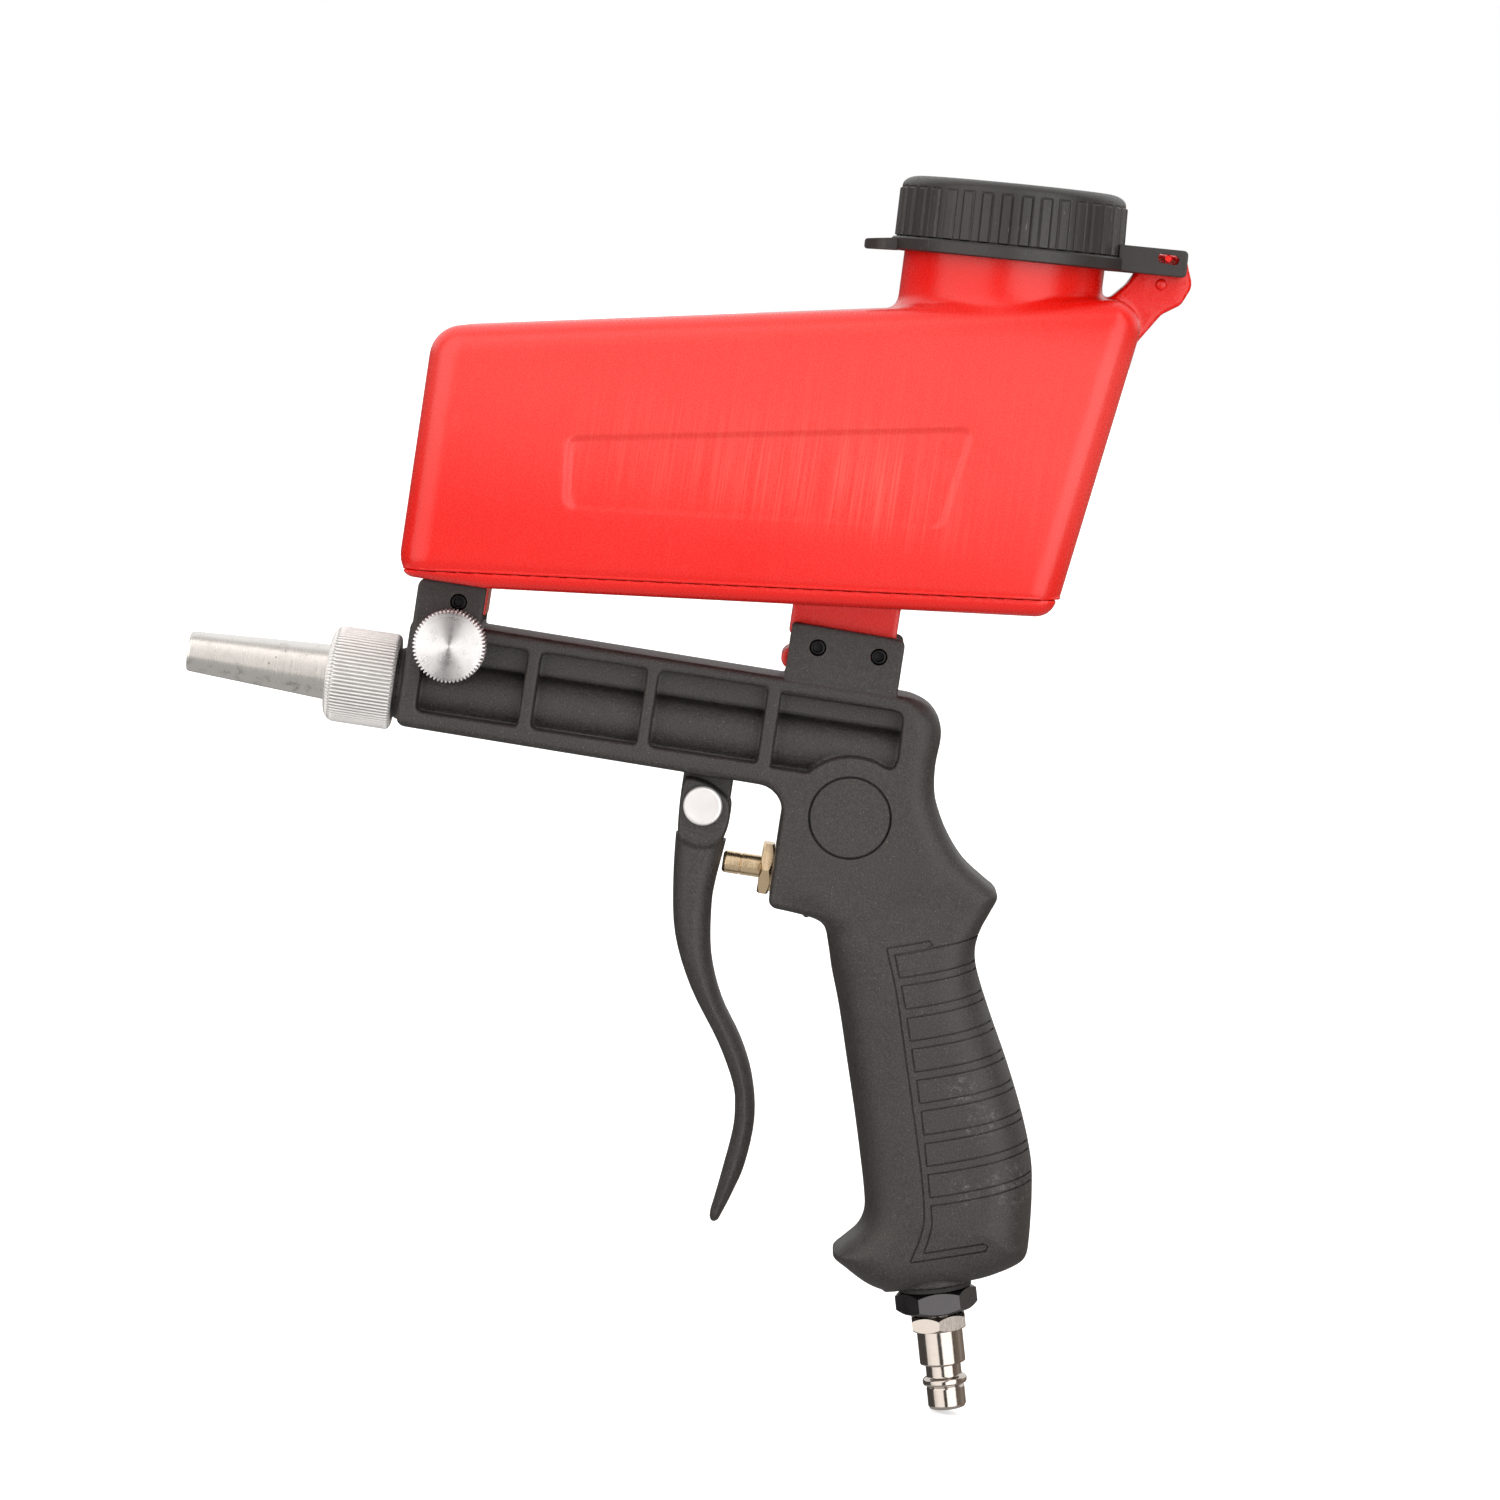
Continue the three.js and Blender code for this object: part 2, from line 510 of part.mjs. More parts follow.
function hopperLid() {
  const { r, height, rim, rimHeight } = LID;
  const dome = turned([[0, 0], [rim, 0], [rim, rimHeight - 0.6], [r, rimHeight], [r, height - 5.8],
    [r - 0.6, height - 3], [r - 2.6, height - 1], [r - 6, height], [0, height]], lidPoint(0, 0), LID_UP,
  36);
  const tab = tilted(outline([[-37, -0.5, 0.8], [-24, 0.1], [-24, 3.1], [-37, 2.1, 0.8]]), 8, 0.3);
  const lug = tilted(outline([[26, 0], [45.6, 0, 1.2], [45.6, 6.9, 1.2], [26, 6.9]]), HINGE.lug + 0.2, 0.4);
  const slotCorners = [[37.9, 3.2, 1.3], [43.4, 3.2, 1.3], [43.4, 5.8, 1.3], [37.9, 5.8, 1.3]];
  const slot = tilted(outline(slotCorners), 14, 0);
  const bracketRoom = block(76.8, 110, -HINGE.web - 1, HINGE.web + 1, 120, 150);
  const inside = bar(lidPoint(0, -1), lidPoint(0, 16.7), 27.5, 36);
  return cut(join(dome, tab, cut(lug, slot, bracketRoom)), inside);
}

// A slab whose outline is given in the lid's own tilted frame.
function tilted(shape, half, bevel) {
  return slab(shape, -half, half, bevel).rotate([0, -LID.tilt, 0]).translate([LID.x, 0, LID.z]);
}

// ---------------------------------------------------------------- air inlet

function inletBushing() {
  const chamfers = turned([[0, 0], [9.6, 0], [11, 1.2], [11, 4.4], [9.6, 5.6], [0, 5.6]], plugPoint(26.2),
    PLUG_UP, 20);
  const hex = hexBar(plugPoint(26.2), plugPoint(31.8), 18.8, degrees(30)).intersect(chamfers);
  const shank = bar(plugPoint(31), plugPoint(44), 7.7, 20);
  return cut(join(hex, shank), bar(plugPoint(25), plugPoint(45), 5.2, 16));
}

function airPlug() {
  const stem = turned([[0, 0], [4.2, 0], [5, 1.4], [5, 5.6], [4.7, 6.1], [5.8, 6.8], [5.8, 8], [4.65, 8.8],
    [4.65, 11.6], [5.4, 12.2], [6, 12.8], [6, 21.4], [0, 21.4]], plugPoint(0), PLUG_UP, 20);
  const chamfers = turned([[0, 0], [7, 0], [8.1, 1], [8.1, 3.1], [7, 4], [0, 4]], plugPoint(21),
    PLUG_UP, 20);
  const hex = hexBar(plugPoint(21), plugPoint(25), 14).intersect(chamfers);
  const shank = bar(plugPoint(24), plugPoint(38), 4.9, 16);
  return cut(join(stem, hex, shank), bar(plugPoint(-1), plugPoint(39), 2.8, 12));
}

// ---------------------------------------------------------------- fasteners

// Cup-point grub screw with a hexagon socket, outer end towards -Y.
function grubScrew([x, z]) {
  const at = alongY(x, z);
  const shank = turned([[0, 0], [1.5, 0], [SET_SCREW_R, 0.5], [SET_SCREW_R, 2.8], [1.2, 3.3], [0, 3.3]],
    at(SET_SCREW_FACE), Y, 12);
  return cut(shank, hexBar(at(SET_SCREW_FACE - 0.6), at(SET_SCREW_FACE + 2), 2));
}

// An open ring clip in a groove.
function ringClip(point, outer, inner, mouth) {
  const { x, y, z } = point;
  const gap = block(x - mouth, x + mouth, y - 2, y + 2, z - outer - 1, z);
  return cut(washer(point, Y, outer, inner, 0.8, 28), gap);
}

// ---------------------------------------------------------------- assembly

const FINISH = {
  body: { color: 0x3a3735, roughness: 0.62, metalness: 0.2 },
  red: { color: 0xf03a2a, roughness: 0.42, metalness: 0 },
  lid: { color: 0x2f2d2c, roughness: 0.5, metalness: 0 },
  aluminium: { color: 0xd8d4d2, roughness: 0.35, metalness: 1 },
  steel: { color: 0xb9b7b4, roughness: 0.3, metalness: 1 },
  nickel: { color: 0xcbbfb2, roughness: 0.15, metalness: 1 },
  brass: { color: 0xc9a46a, roughness: 0.3, metalness: 1 },
  dark: { color: 0x2b2a2c, roughness: 0.4, metalness: 0.6 },
  rubber: { color: 0x161616, roughness: 0.8, metalness: 0 },
};

const gun = new THREE.Group();
gun.position.set(-HAND_GRIP[0], -HAND_GRIP[1], -HAND_GRIP[2]);

function add(name, piece, finish) {
  const { vertProperties, triVerts } = piece.getMesh();
  const geometry = new THREE.BufferGeometry();
  geometry.setAttribute('position', new THREE.BufferAttribute(vertProperties, 3));
  geometry.setIndex(new THREE.BufferAttribute(triVerts, 1));
  geometry.computeVertexNormals();
  const mesh = new THREE.Mesh(geometry, new THREE.MeshStandardMaterial(FINISH[finish]));
  mesh.name = name;
  gun.add(mesh);
}

add('gun_body', gunBody(), 'body');
add('air_jet', airJet(), 'brass');
add('jet_o_ring', oRing(alongX(2.8), X, 3.65, 0.5), 'rubber');
add('nozzle', nozzle(), 'steel');
add('nozzle_washer', washer(alongX(NECK.end - 1.3), X, 8, 6, 1), 'rubber');
add('nozzle_collar', nozzleCollar(), 'aluminium');
add('valve_stem', valveStem(), 'brass');
add('stem_o_ring', oRing(alongX(11.3, VALVE_Z), X, 2.55, 0.42), 'rubber');
add('valve_gland_nut', valveGlandNut(), 'brass');
add('valve_seat', washer(alongX(VALVE.seat, VALVE_Z), X, 6, 2.8, 3.2, 28), 'brass');
add('valve_disc', washer(alongX(28.8, VALVE_Z), X, 4.9, 2.1, 2.2, 24), 'rubber');
add('valve_spring', valveSpring(), 'steel');
add('trigger', trigger(), 'body');
add('trigger_pin', triggerPin(), 'aluminium');
add('trigger_pin_clip', ringClip(pivotAt(8.7), 4.2, 2.05, 1.2), 'steel');
add('flow_knob', flowKnob(), 'aluminium');
add('flow_spindle', flowSpindle(), 'steel');
add('spindle_o_ring_near', oRing(flowAt(-9.9), Y, 3.75, 0.45), 'rubber');
add('spindle_o_ring_far', oRing(flowAt(9.5), Y, 3.75, 0.45), 'rubber');
add('spindle_clip', ringClip(flowAt(13.55), 6.2, 3.3, 2), 'steel');
add('hopper_shell', hopperShell(), 'red');
add('hopper_base', hopperBase(), 'red');
add('spout_gasket', washer(vec(SPOUT.x, 0, SOCKET.floor + GAP), Z, 7, 4, 1.1), 'rubber');
Object.entries(SET_SCREWS).forEach(([name, place]) => add(`${name}_set_screw`, grubScrew(place), 'dark'));
add('hopper_lid', hopperLid(), 'lid');
add('lid_seal', bar(lidPoint(0, 15.4), lidPoint(0, 16.4), 26.9, 36), 'rubber');
add('inlet_bushing', inletBushing(), 'dark');
add('bushing_washer', washer(plugPoint(32.1), PLUG_UP, 9.6, 8.1, 1.1), 'rubber');
add('air_plug', airPlug(), 'nickel');
add('plug_washer', washer(plugPoint(25.35), PLUG_UP, 6.6, 5.4, 0.5), 'rubber');

export default gun;
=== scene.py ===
from math import atan2, cos, degrees, hypot, pi, radians, sin, sqrt, tan

import bmesh
import bpy
import numpy as np
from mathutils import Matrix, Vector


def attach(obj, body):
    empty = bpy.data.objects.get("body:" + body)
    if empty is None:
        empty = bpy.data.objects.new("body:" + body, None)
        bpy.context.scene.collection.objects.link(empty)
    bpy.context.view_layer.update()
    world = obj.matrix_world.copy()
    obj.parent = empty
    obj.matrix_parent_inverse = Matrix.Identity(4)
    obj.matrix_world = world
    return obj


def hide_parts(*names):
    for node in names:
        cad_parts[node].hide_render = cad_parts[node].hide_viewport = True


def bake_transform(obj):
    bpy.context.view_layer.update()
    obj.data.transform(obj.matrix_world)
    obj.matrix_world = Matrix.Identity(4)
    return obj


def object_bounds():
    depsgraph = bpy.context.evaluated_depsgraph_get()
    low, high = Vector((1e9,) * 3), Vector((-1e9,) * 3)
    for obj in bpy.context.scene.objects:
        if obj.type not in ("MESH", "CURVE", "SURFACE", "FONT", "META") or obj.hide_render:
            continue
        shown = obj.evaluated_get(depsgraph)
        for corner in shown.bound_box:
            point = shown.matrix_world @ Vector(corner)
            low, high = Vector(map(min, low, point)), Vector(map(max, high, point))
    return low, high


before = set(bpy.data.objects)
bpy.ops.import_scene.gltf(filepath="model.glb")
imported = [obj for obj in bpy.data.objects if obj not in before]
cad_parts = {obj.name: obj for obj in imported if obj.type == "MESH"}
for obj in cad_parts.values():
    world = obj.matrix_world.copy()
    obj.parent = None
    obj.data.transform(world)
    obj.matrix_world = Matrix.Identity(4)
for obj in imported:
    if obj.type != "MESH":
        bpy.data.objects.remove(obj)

import openvdb
from mathutils import Matrix, Vector

cad_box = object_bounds()

# Looks of a gravity-feed sand blaster gun. Shapes are laid out in millimetres from the centre of the
# barrel's bore, as the design is, and turned into metres in the row frame when a piece is finished.

MM = 0.001
TINY = 1e-6
BARREL = Vector((-0.063, 0.0, 0.09))  # centre of the barrel's bore in the row frame

BODY_HALF = 12.5  # half width of the barrel casting
WEB_HALF = 8.8
BARREL_R = 8.8
PAD = (28.1, -15.8)
PAD_R = 10.5
SCREWS = {"front": (-79.9, 23.9), "rear_1": (13.3, 26.3), "rear_2": (29.2, 26.3)}
FLOW = (-80.2, 12.9)
PIVOT = (-9.9, -18.9)
VALVE_Z = -33.2
NECK_END = -105.6
NOZZLE_TIP, COLLAR_FRONT = -148.0, -111.4
SPOUT_X = -80.2
HOPPER_HALF = 31.0
SEAM = (-72.8, 33.5, 0.1045)  # x, z and slope of the joint under the hopper
LID = (46.6, 131.8)
LID_TILT = radians(3)
HINGE = (86.9, 138.4)
PLUG = (77.4, -166.8)
PLUG_LEAN = radians(14.8)

X, Y, Z = Vector((1, 0, 0)), Vector((0, 1, 0)), Vector((0, 0, 1))


def at_y(point, y=0.0):
    """A point (x, z) of the design, moved along Y."""
    return Vector((point[0], y, point[1]))


# ---- outlines

def rounded(corners, steps=6):
    """A closed outline from corners (x, z, radius), each turned into an arc."""
    points = []
    for i, (x, z, *rest) in enumerate(corners):
        radius = rest[0] if rest else 0
        here = Vector((x, z))
        before = Vector(corners[i - 1][:2])
        after = Vector(corners[(i + 1) % len(corners)][:2])
        if not radius:
            points.append(here)
            continue
        back, ahead = (before - here).normalized(), (after - here).normalized()
        half = back.angle(ahead) / 2
        start, end = here + back * radius / tan(half), here + ahead * radius / tan(half)
        centre = here + (back + ahead).normalized() * radius / sin(half)
        for k in range(steps + 1):
            spoke = (start - centre).normalized().slerp((end - centre).normalized(), k / steps)
            points.append(centre + spoke * radius)
    return points


def curved(points, per=5, closed=False):
    """A smooth line through points, as Catmull-Rom stretches."""
    pts = [Vector(p) for p in points]
    if closed:
        pts = [pts[-1], *pts, *pts[:2]]
    else:
        pts = [pts[0] * 2 - pts[1], *pts, pts[-1] * 2 - pts[-2]]
    out = []
    for a, b, c, d in zip(pts, pts[1:], pts[2:], pts[3:]):
        for k in range(per):
            t = k / per
            out.append(0.5 * (2 * b + (c - a) * t + (2 * a - 5 * b + 4 * c - d) * t * t
                              + (3 * b - a - 3 * c + d) * t ** 3))
    return out if closed else out + [pts[-2]]


# ---- distance fields

def beyond(values, low, high):
    """Distance outside a stretch of one axis, negative inside."""
    return np.abs(values - (low + high) / 2) - (high - low) / 2


class Grid:
    """A block of space sampled every step mm. A solid on it is an array of distances, negative inside."""

    def __init__(self, low, high, step):
        self.low, self.step = np.array(low, np.float32), step
        axes = [np.arange(a, b + step / 2, step, dtype=np.float32) for a, b in zip(low, high)]
        self.x, self.y, self.z = np.ix_(*axes)

    def outline(self, points):
        """Distance to a closed outline in the XZ plane, the same at every Y."""
        nearest = np.full((self.x.size, 1, self.z.size), 1e9, np.float32)
        inside = np.zeros(nearest.shape, bool)
        for a, b in zip(points, points[1:] + points[:1]):
            edge = b - a
            if edge.length < TINY:
                continue
            wx, wz = self.x - a[0], self.z - a[1]
            t = np.clip((wx * edge[0] + wz * edge[1]) / edge.length_squared, 0, 1)
            nearest = np.minimum(nearest, (wx - edge[0] * t) ** 2 + (wz - edge[1] * t) ** 2)
            if a[1] != b[1]:
                spans = (np.minimum(a[1], b[1]) <= self.z) & (self.z < np.maximum(a[1], b[1]))
                inside ^= spans & (self.x < a[0] + wz / edge[1] * edge[0])
        return np.where(inside, -1, 1) * np.sqrt(nearest)

    def slab(self, flat, half, edge, power=2.0):
        """A flat outline made thick along Y, with its edges rounded by edge."""
        a, b = flat + edge, np.abs(self.y) - half + edge
        inner = np.minimum(np.maximum(a, b), 0)
        return inner + (np.maximum(a, 0) ** power + np.maximum(b, 0) ** power) ** (1 / power) - edge

    def along_x(self, radius, x0, x1, z=0.0):
        round_part = np.hypot(self.y, self.z - z) - radius
        return np.maximum(round_part, beyond(self.x, x0, x1))

    def along_y(self, centre, radius, y0, y1):
        round_part = np.hypot(self.x - centre[0], self.z - centre[1]) - radius
        return np.maximum(round_part, beyond(self.y, y0, y1))

    def box(self, x0, x1, half_y, z0, z1):
        return np.maximum(np.maximum(beyond(self.x, x0, x1), np.abs(self.y) - half_y), beyond(self.z, z0, z1))

    def tilted_bar(self, point, direction, radius, start, end):
        """A round bar whose axis lies in the XZ plane."""
        dx, dz = self.x - point[0], self.z - point[2]
        along = dx * direction[0] + dz * direction[2]
        across = dx * direction[2] - dz * direction[0]
        return np.maximum(np.hypot(across, self.y) - radius, beyond(along, start, end))

    def solid(self, name, field):
        """The surface of a field as an object. The field holds the half from Y 0 up, which is mirrored."""
        low = self.low.copy()
        field = np.concatenate([field[:, :0:-1], field], axis=1)
        low[1] -= (field.shape[1] - 1) / 2 * self.step
        band = 4 * self.step
        volume = openvdb.FloatGrid(band)
        volume.copyFromArray(np.clip(field, -band, band).astype(np.float32))
        points, quads = volume.convertToQuads()
        mesh = bpy.data.meshes.new(name)
        mesh.from_pydata((points * self.step + low).tolist(), [], quads[:, ::-1].tolist())
        return upright(as_object(name, mesh))


def blended(a, b, reach):
    """The join of two solids with a fillet of about that reach."""
    h = np.maximum(reach - np.abs(a - b), 0) / reach
    return np.minimum(a, b) - h * h * reach / 4


def carved(a, b, reach=0.0):
    """a with b taken out, and the edges eased by reach."""
    return -blended(-a, b, reach) if reach else np.maximum(a, -b)


def step_up(value, low, high):
    t = np.clip((value - low) / (high - low), 0, 1)
    return t * t * (3 - 2 * t)


# ---- mesh helpers

def as_object(name, mesh):
    obj = bpy.data.objects.new(name, mesh)
    bpy.context.scene.collection.objects.link(obj)
    return obj


def final_mesh(obj):
    graph = bpy.context.evaluated_depsgraph_get()
    return bpy.data.meshes.new_from_object(obj.evaluated_get(graph), depsgraph=graph)


def baked(obj):
    """obj with its modifiers applied."""
    mesh = final_mesh(obj)
    obj.modifiers.clear()
    obj.data = mesh
    return obj


def combined(obj, tools, operation):
    """obj joined with, cut by or limited to other objects, which are used up."""
    for tool in tools:
        step = obj.modifiers.new("step", "BOOLEAN")
        step.operation, step.solver, step.object = operation, "MANIFOLD", tool
    baked(obj)
    for tool in tools:
        bpy.data.objects.remove(tool)
    return obj


def cut(obj, *tools):
    return combined(obj, tools, "DIFFERENCE")


def joined(obj, *tools):
    return combined(obj, tools, "UNION")


def thinned(obj, triangles):
    """obj with its flat stretches held by fewer faces."""
    obj.data.calc_loop_triangles()
    step = obj.modifiers.new("thin", "DECIMATE")
    step.ratio = min(1.0, triangles / len(obj.data.loop_triangles))
    return baked(obj)


def braced(profile):
    """A profile with points added just inside the ends of its long stretches, which keeps shading crisp."""
    points, longest, inset = [], 0.6, 0.12
    for (r0, d0), (r1, d1) in zip(profile, profile[1:]):
        points.append((r0, d0))
        length = hypot(r1 - r0, d1 - d0)
        if length > longest:
            for t in (inset / length, 1 - inset / length):
                points.append((r0 + (r1 - r0) * t, d0 + (d1 - d0) * t))
    return points + [profile[-1]]


def turned(name, profile, point, direction, segments=96, shape=None):
    """A turned piece: (radius, distance) pairs along a direction from a point.

    shape(angle, radius, distance) may change the radius, for knurls and ribs."""
    mesh = bpy.data.meshes.new(name)
    rings, vertices, faces = [], [], []
    for radius, distance in braced(profile):
        if radius < TINY:
            rings.append([len(vertices)] * segments)
            vertices.append((0, 0, distance))
            continue
        rings.append(list(range(len(vertices), len(vertices) + segments)))
        for k in range(segments):
            angle = 2 * pi * k / segments
            r = shape(angle, radius, distance) if shape else radius
            vertices.append((r * cos(angle), r * sin(angle), distance))
    pairs = list(zip(rings, rings[1:]))
    if profile[0][0] > TINY:
        pairs.append((rings[-1], rings[0]))
    for low, high in pairs:
        for k in range(segments):
            after = (k + 1) % segments
            corners = list(dict.fromkeys((low[k], low[after], high[after], high[k])))
            if len(corners) > 2:
                faces.append(corners)
    mesh.from_pydata(vertices, [], faces)
    turn = Vector(direction).to_track_quat("Z", "Y").to_matrix().to_4x4()
    mesh.transform(Matrix.Translation(point) @ turn)
    return upright(as_object(name, mesh))


def upright(obj):
    """Turns every face to point out."""
    bm = bmesh.new()
    bm.from_mesh(obj.data)
    bmesh.ops.recalc_face_normals(bm, faces=bm.faces)
    if bm.calc_volume(signed=True) < 0:
        bmesh.ops.reverse_faces(bm, faces=bm.faces)
    bm.to_mesh(obj.data)
    bm.free()
    return obj


def prism(name, outline, y0, y1, bevel=0.0, segments=2):
    """An XZ outline made thick along Y, with its long edges rounded."""
    bm = bmesh.new()
    near = [bm.verts.new((p[0], y0, p[1])) for p in outline]
    far = [bm.verts.new((p[0], y1, p[1])) for p in outline]
    bm.faces.new(near)
    bm.faces.new(far[::-1])
    for i in range(len(near)):
        k = (i + 1) % len(near)
        bm.faces.new((near[k], near[i], far[i], far[k]))
    rims = [edge for edge in bm.edges if abs(edge.verts[0].co.y - edge.verts[1].co.y) < TINY]
    bmesh.ops.recalc_face_normals(bm, faces=bm.faces)
    if bevel:
        bmesh.ops.bevel(bm, geom=rims, offset=bevel, segments=segments, profile=0.5, affect="EDGES")
    mesh = bpy.data.meshes.new(name)
    bm.to_mesh(mesh)
    bm.free()
    return upright(as_object(name, mesh))


def wire(name, points, radius, resolution, closed=False):
    """A round wire along points."""
    curve = bpy.data.curves.new(name, "CURVE")
    curve.dimensions, curve.bevel_depth, curve.bevel_resolution = "3D", radius, resolution
    curve.use_fill_caps = not closed
    spline = curve.splines.new("POLY")
    spline.points.add(len(points) - 1)
    for target, point in zip(spline.points, points):
        target.co = (*point, 1)
    spline.use_cyclic_u = closed
    obj = as_object(name, curve)
    mesh = final_mesh(obj)
    bpy.data.objects.remove(obj)
    return upright(as_object(name, mesh))


def rod(point, direction, radius, start, end, sides=48):
    """A round cutter along a direction; six sides make a hexagon."""
    return turned("tool", [(0, start), (radius, start), (radius, end), (0, end)], point, direction, sides)


def brick(x0, x1, y0, y1, z0, z1):
    return prism("tool", [(x0, z0), (x1, z0), (x1, z1), (x0, z1)], y0, y1)


def finished(obj, body, node, material, sharp=35.0, moulded=False):
    """body is a body's name, or the four facts of a piece that stretches between two bodies."""
    obj.data.transform(Matrix.Translation(BARREL) @ Matrix.Scale(MM, 4))
    obj.data.materials.clear()
    obj.data.materials.append(material)
    bm = bmesh.new()
    bm.from_mesh(obj.data)
    limit = radians(sharp)
    for face in bm.faces:
        face.smooth = True
        face.material_index = 0
    for edge in bm.edges:
        edge.smooth = len(edge.link_faces) != 2 or edge.calc_face_angle(0) < limit
    bm.to_mesh(obj.data)
    bm.free()
    if not moulded:
        obj.modifiers.new("normals", "WEIGHTED_NORMAL").keep_sharp = True
    if isinstance(body, str):
        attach(obj, body)
    else:
        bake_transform(obj)
    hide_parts(node)


# ---- die-cast body

CASTING = [(-91.4, 18.2, 2.6), (41.6, 17.1, 7), (46.3, 9, 4), (46.2, -9, 8), (58, -30, 8), (30, -43.2, 6),
           (10.6, -42.2, 2.4), (10.6, -11.1, 7), (-91.6, -10.1, 2.4)]
GRIP_FRONT = [(24, 8), (14, -10), (12.8, -30), (14, -36), (16.4, -39.6), (20.6, -41.2), (25.4, -44.2),
              (27.8, -50.4), (29.6, -56.5), (33, -66), (37, -79), (41, -92), (44.3, -103.5), (46.6, -112),
              (47.7, -118), (46.6, -122.6), (43.6, -126.5), (41.3, -129.4), (41.8, -131.3), (44.8, -133.1),
              (48.7, -135.4), (52, -136.9), (55.4, -137.7), (58.5, -137.8)]
GRIP_BACK = [(77.7, -131.7), (85.3, -128.3), (89.8, -125.4), (91.3, -123.2), (91.5, -119.8), (91, -113),
             (90.2, -106), (88.7, -98), (84.7, -87), (78.6, -74), (72, -61.5), (67.2, -51.5), (65.6, -45.5),
             (66.1, -40.2), (67.8, -35.4), (69.2, -31.4), (68.2, -29.4), (65, -27.4), (58.8, -23),
             (52.8, -15.6), (48.9, -7), (47.6, 0.5), (48, 7.8), (46.2, 13.2), (40, 15)]
GRIP_HALVES = ([-138, -130, -118, -66, -50, -36, -10], [12, 13.6, 15, 15, 14.2, 13.2, 12.5])
POCKETS = [(-86.8, -60.3), (-56.9, -29.2), (-26.1, 2.3)]
POCKET_TOP, POCKET_BOTTOM = 14.2, -5.6
EAR_HALF = 11.9
SCREW_FACE = -11.7


def rear_pocket():
    """The rearmost pocket, which curves round the pad below it."""
    arc = [Vector(PAD) + Vector((cos(a), sin(a))) * (PAD_R + 5.2)
           for a in (radians(141 - 79 * k / 14) for k in range(15))]
    start = [Vector((5.9, 13.6)), Vector((5.9, -6.1)), Vector((15.4, -6.1))]
    end = curved([arc[-1], (37.4, -1.4), (38.1, 0.6)], 5) + [Vector((37.9, 10.6))]
    return start + arc[:-1] + end + curved([(37.9, 10.6), (37.2, 12.5), (35.4, 13.2)], 4)


def plug_point(distance):
    return Vector((PLUG[0] - distance * sin(PLUG_LEAN), 0, PLUG[1] + distance * cos(PLUG_LEAN)))


PLUG_UP = Vector((-sin(PLUG_LEAN), 0, cos(PLUG_LEAN)))


def casting_field(g):
    """The body's outside: the barrel casting with its pockets, the grip, the post, ears, neck and lug."""
    edge = 1.8 + 3.4 * step_up(g.x, 36, 45)
    barrel = g.slab(g.outline(rounded(CASTING)), BODY_HALF, edge)
    half = np.interp(g.z, *GRIP_HALVES).astype(np.float32)
    grip_edge = 6.5 + 7.5 * step_up(-g.z, 36, 62) - 6 * step_up(-g.z, 118, 134)
    grip = g.slab(g.outline(curved(GRIP_FRONT + GRIP_BACK, 4, closed=True)), half, grip_edge, 2.3)
    solid = blended(barrel, grip, 4)
    low, high = POCKET_BOTTOM, POCKET_TOP
    shapes = [rounded([(a, low, 1.6), (b, low, 0.9), (b, high, 0.9), (a, high, 1.6)]) for a, b in POCKETS]
    shapes.append(rear_pocket())
    for shape in shapes:
        hollow = np.maximum(g.outline(shape), 4.5 - np.abs(g.y))
        solid = carved(solid, hollow, 0.9)
    solid = blended(solid, g.along_x(BARREL_R, -90, 40), 0.6)
    solid = blended(solid, g.box(-90, 39, WEB_HALF, 8.4, 15), 0.4)
    solid = blended(solid, g.along_y(FLOW, 6.4, -12.6, 12.6), 0.6)
    lug = rounded([(-16.1, -8), (-16.1, -18, 5), (-12, -25.6, 5), (-6, -25.6, 4), (-3.1, -18, 5), (-3.1, -8)])
    solid = blended(solid, g.slab(g.outline(lug), 4.6, 0.6), 0.8)
    post = rounded([(-90.9, 14), (-90.9, 28.9, 2.4), (-73.3, 28.9, 0.8), (-73.3, 14)])
    ears = rounded([(5.9, 13), (5.9, 32, 1), (35.4, 31.5, 1.8), (35.4, 13)])
    for shape in (post, ears):
        solid = np.minimum(solid, g.slab(g.outline(shape), EAR_HALF, 0.5))
    pitch = 1.5  # of the nozzle's thread
    rings = 0.45 * (np.abs((g.x + 95.4) % pitch - pitch / 2) < 0.3) * (g.x > -95.2)
    neck = np.maximum(np.hypot(g.y, g.z) - 9.4 + rings, np.abs(g.x + 92.7) - 2.7)
    thread = 8.2 - 0.35 * np.abs((g.x / pitch) % 1 - 0.5) * 2
    screw = np.maximum(np.hypot(g.y, g.z) - thread, np.abs(g.x + 98) - 7.6)
    solid = np.minimum(np.minimum(solid, neck), screw)
    nub = np.sqrt((g.x - 21) ** 2 + (g.y * 0.5) ** 2 + (g.z + 43.4) ** 2) - 1.2
    solid = blended(solid, nub, 0.8)
    return np.minimum(solid, g.tilted_bar(plug_point(0), PLUG_UP, 10.8, 33.5, 40))


def bored_field(g, solid):
    """The casting with the bores and rooms that its inner pieces need."""
    rooms = [g.box(-87.8, -68.3, 8.4, 19.4, 40), g.box(2.9, 38.4, 8.4, 18.1, 40),
             g.along_x(6.5, NECK_END - 1, -68), g.along_x(4.6, -70, 30), g.along_x(6.4, 7.5, 50.4, VALVE_Z),
             g.tilted_bar(plug_point(0), PLUG_UP, 4, 30, 134),
             g.tilted_bar(plug_point(0), PLUG_UP, 8.2, 30, 46),
             np.maximum(np.hypot(g.x - 22, g.y) - 3.2, np.abs(g.z - VALVE_Z / 2) + VALVE_Z / 2),
             np.maximum(np.hypot(g.x - SPOUT_X, g.y) - 3, np.abs(g.z - 20) - 20)]
    for room in rooms:
        solid = carved(solid, room)
    return solid


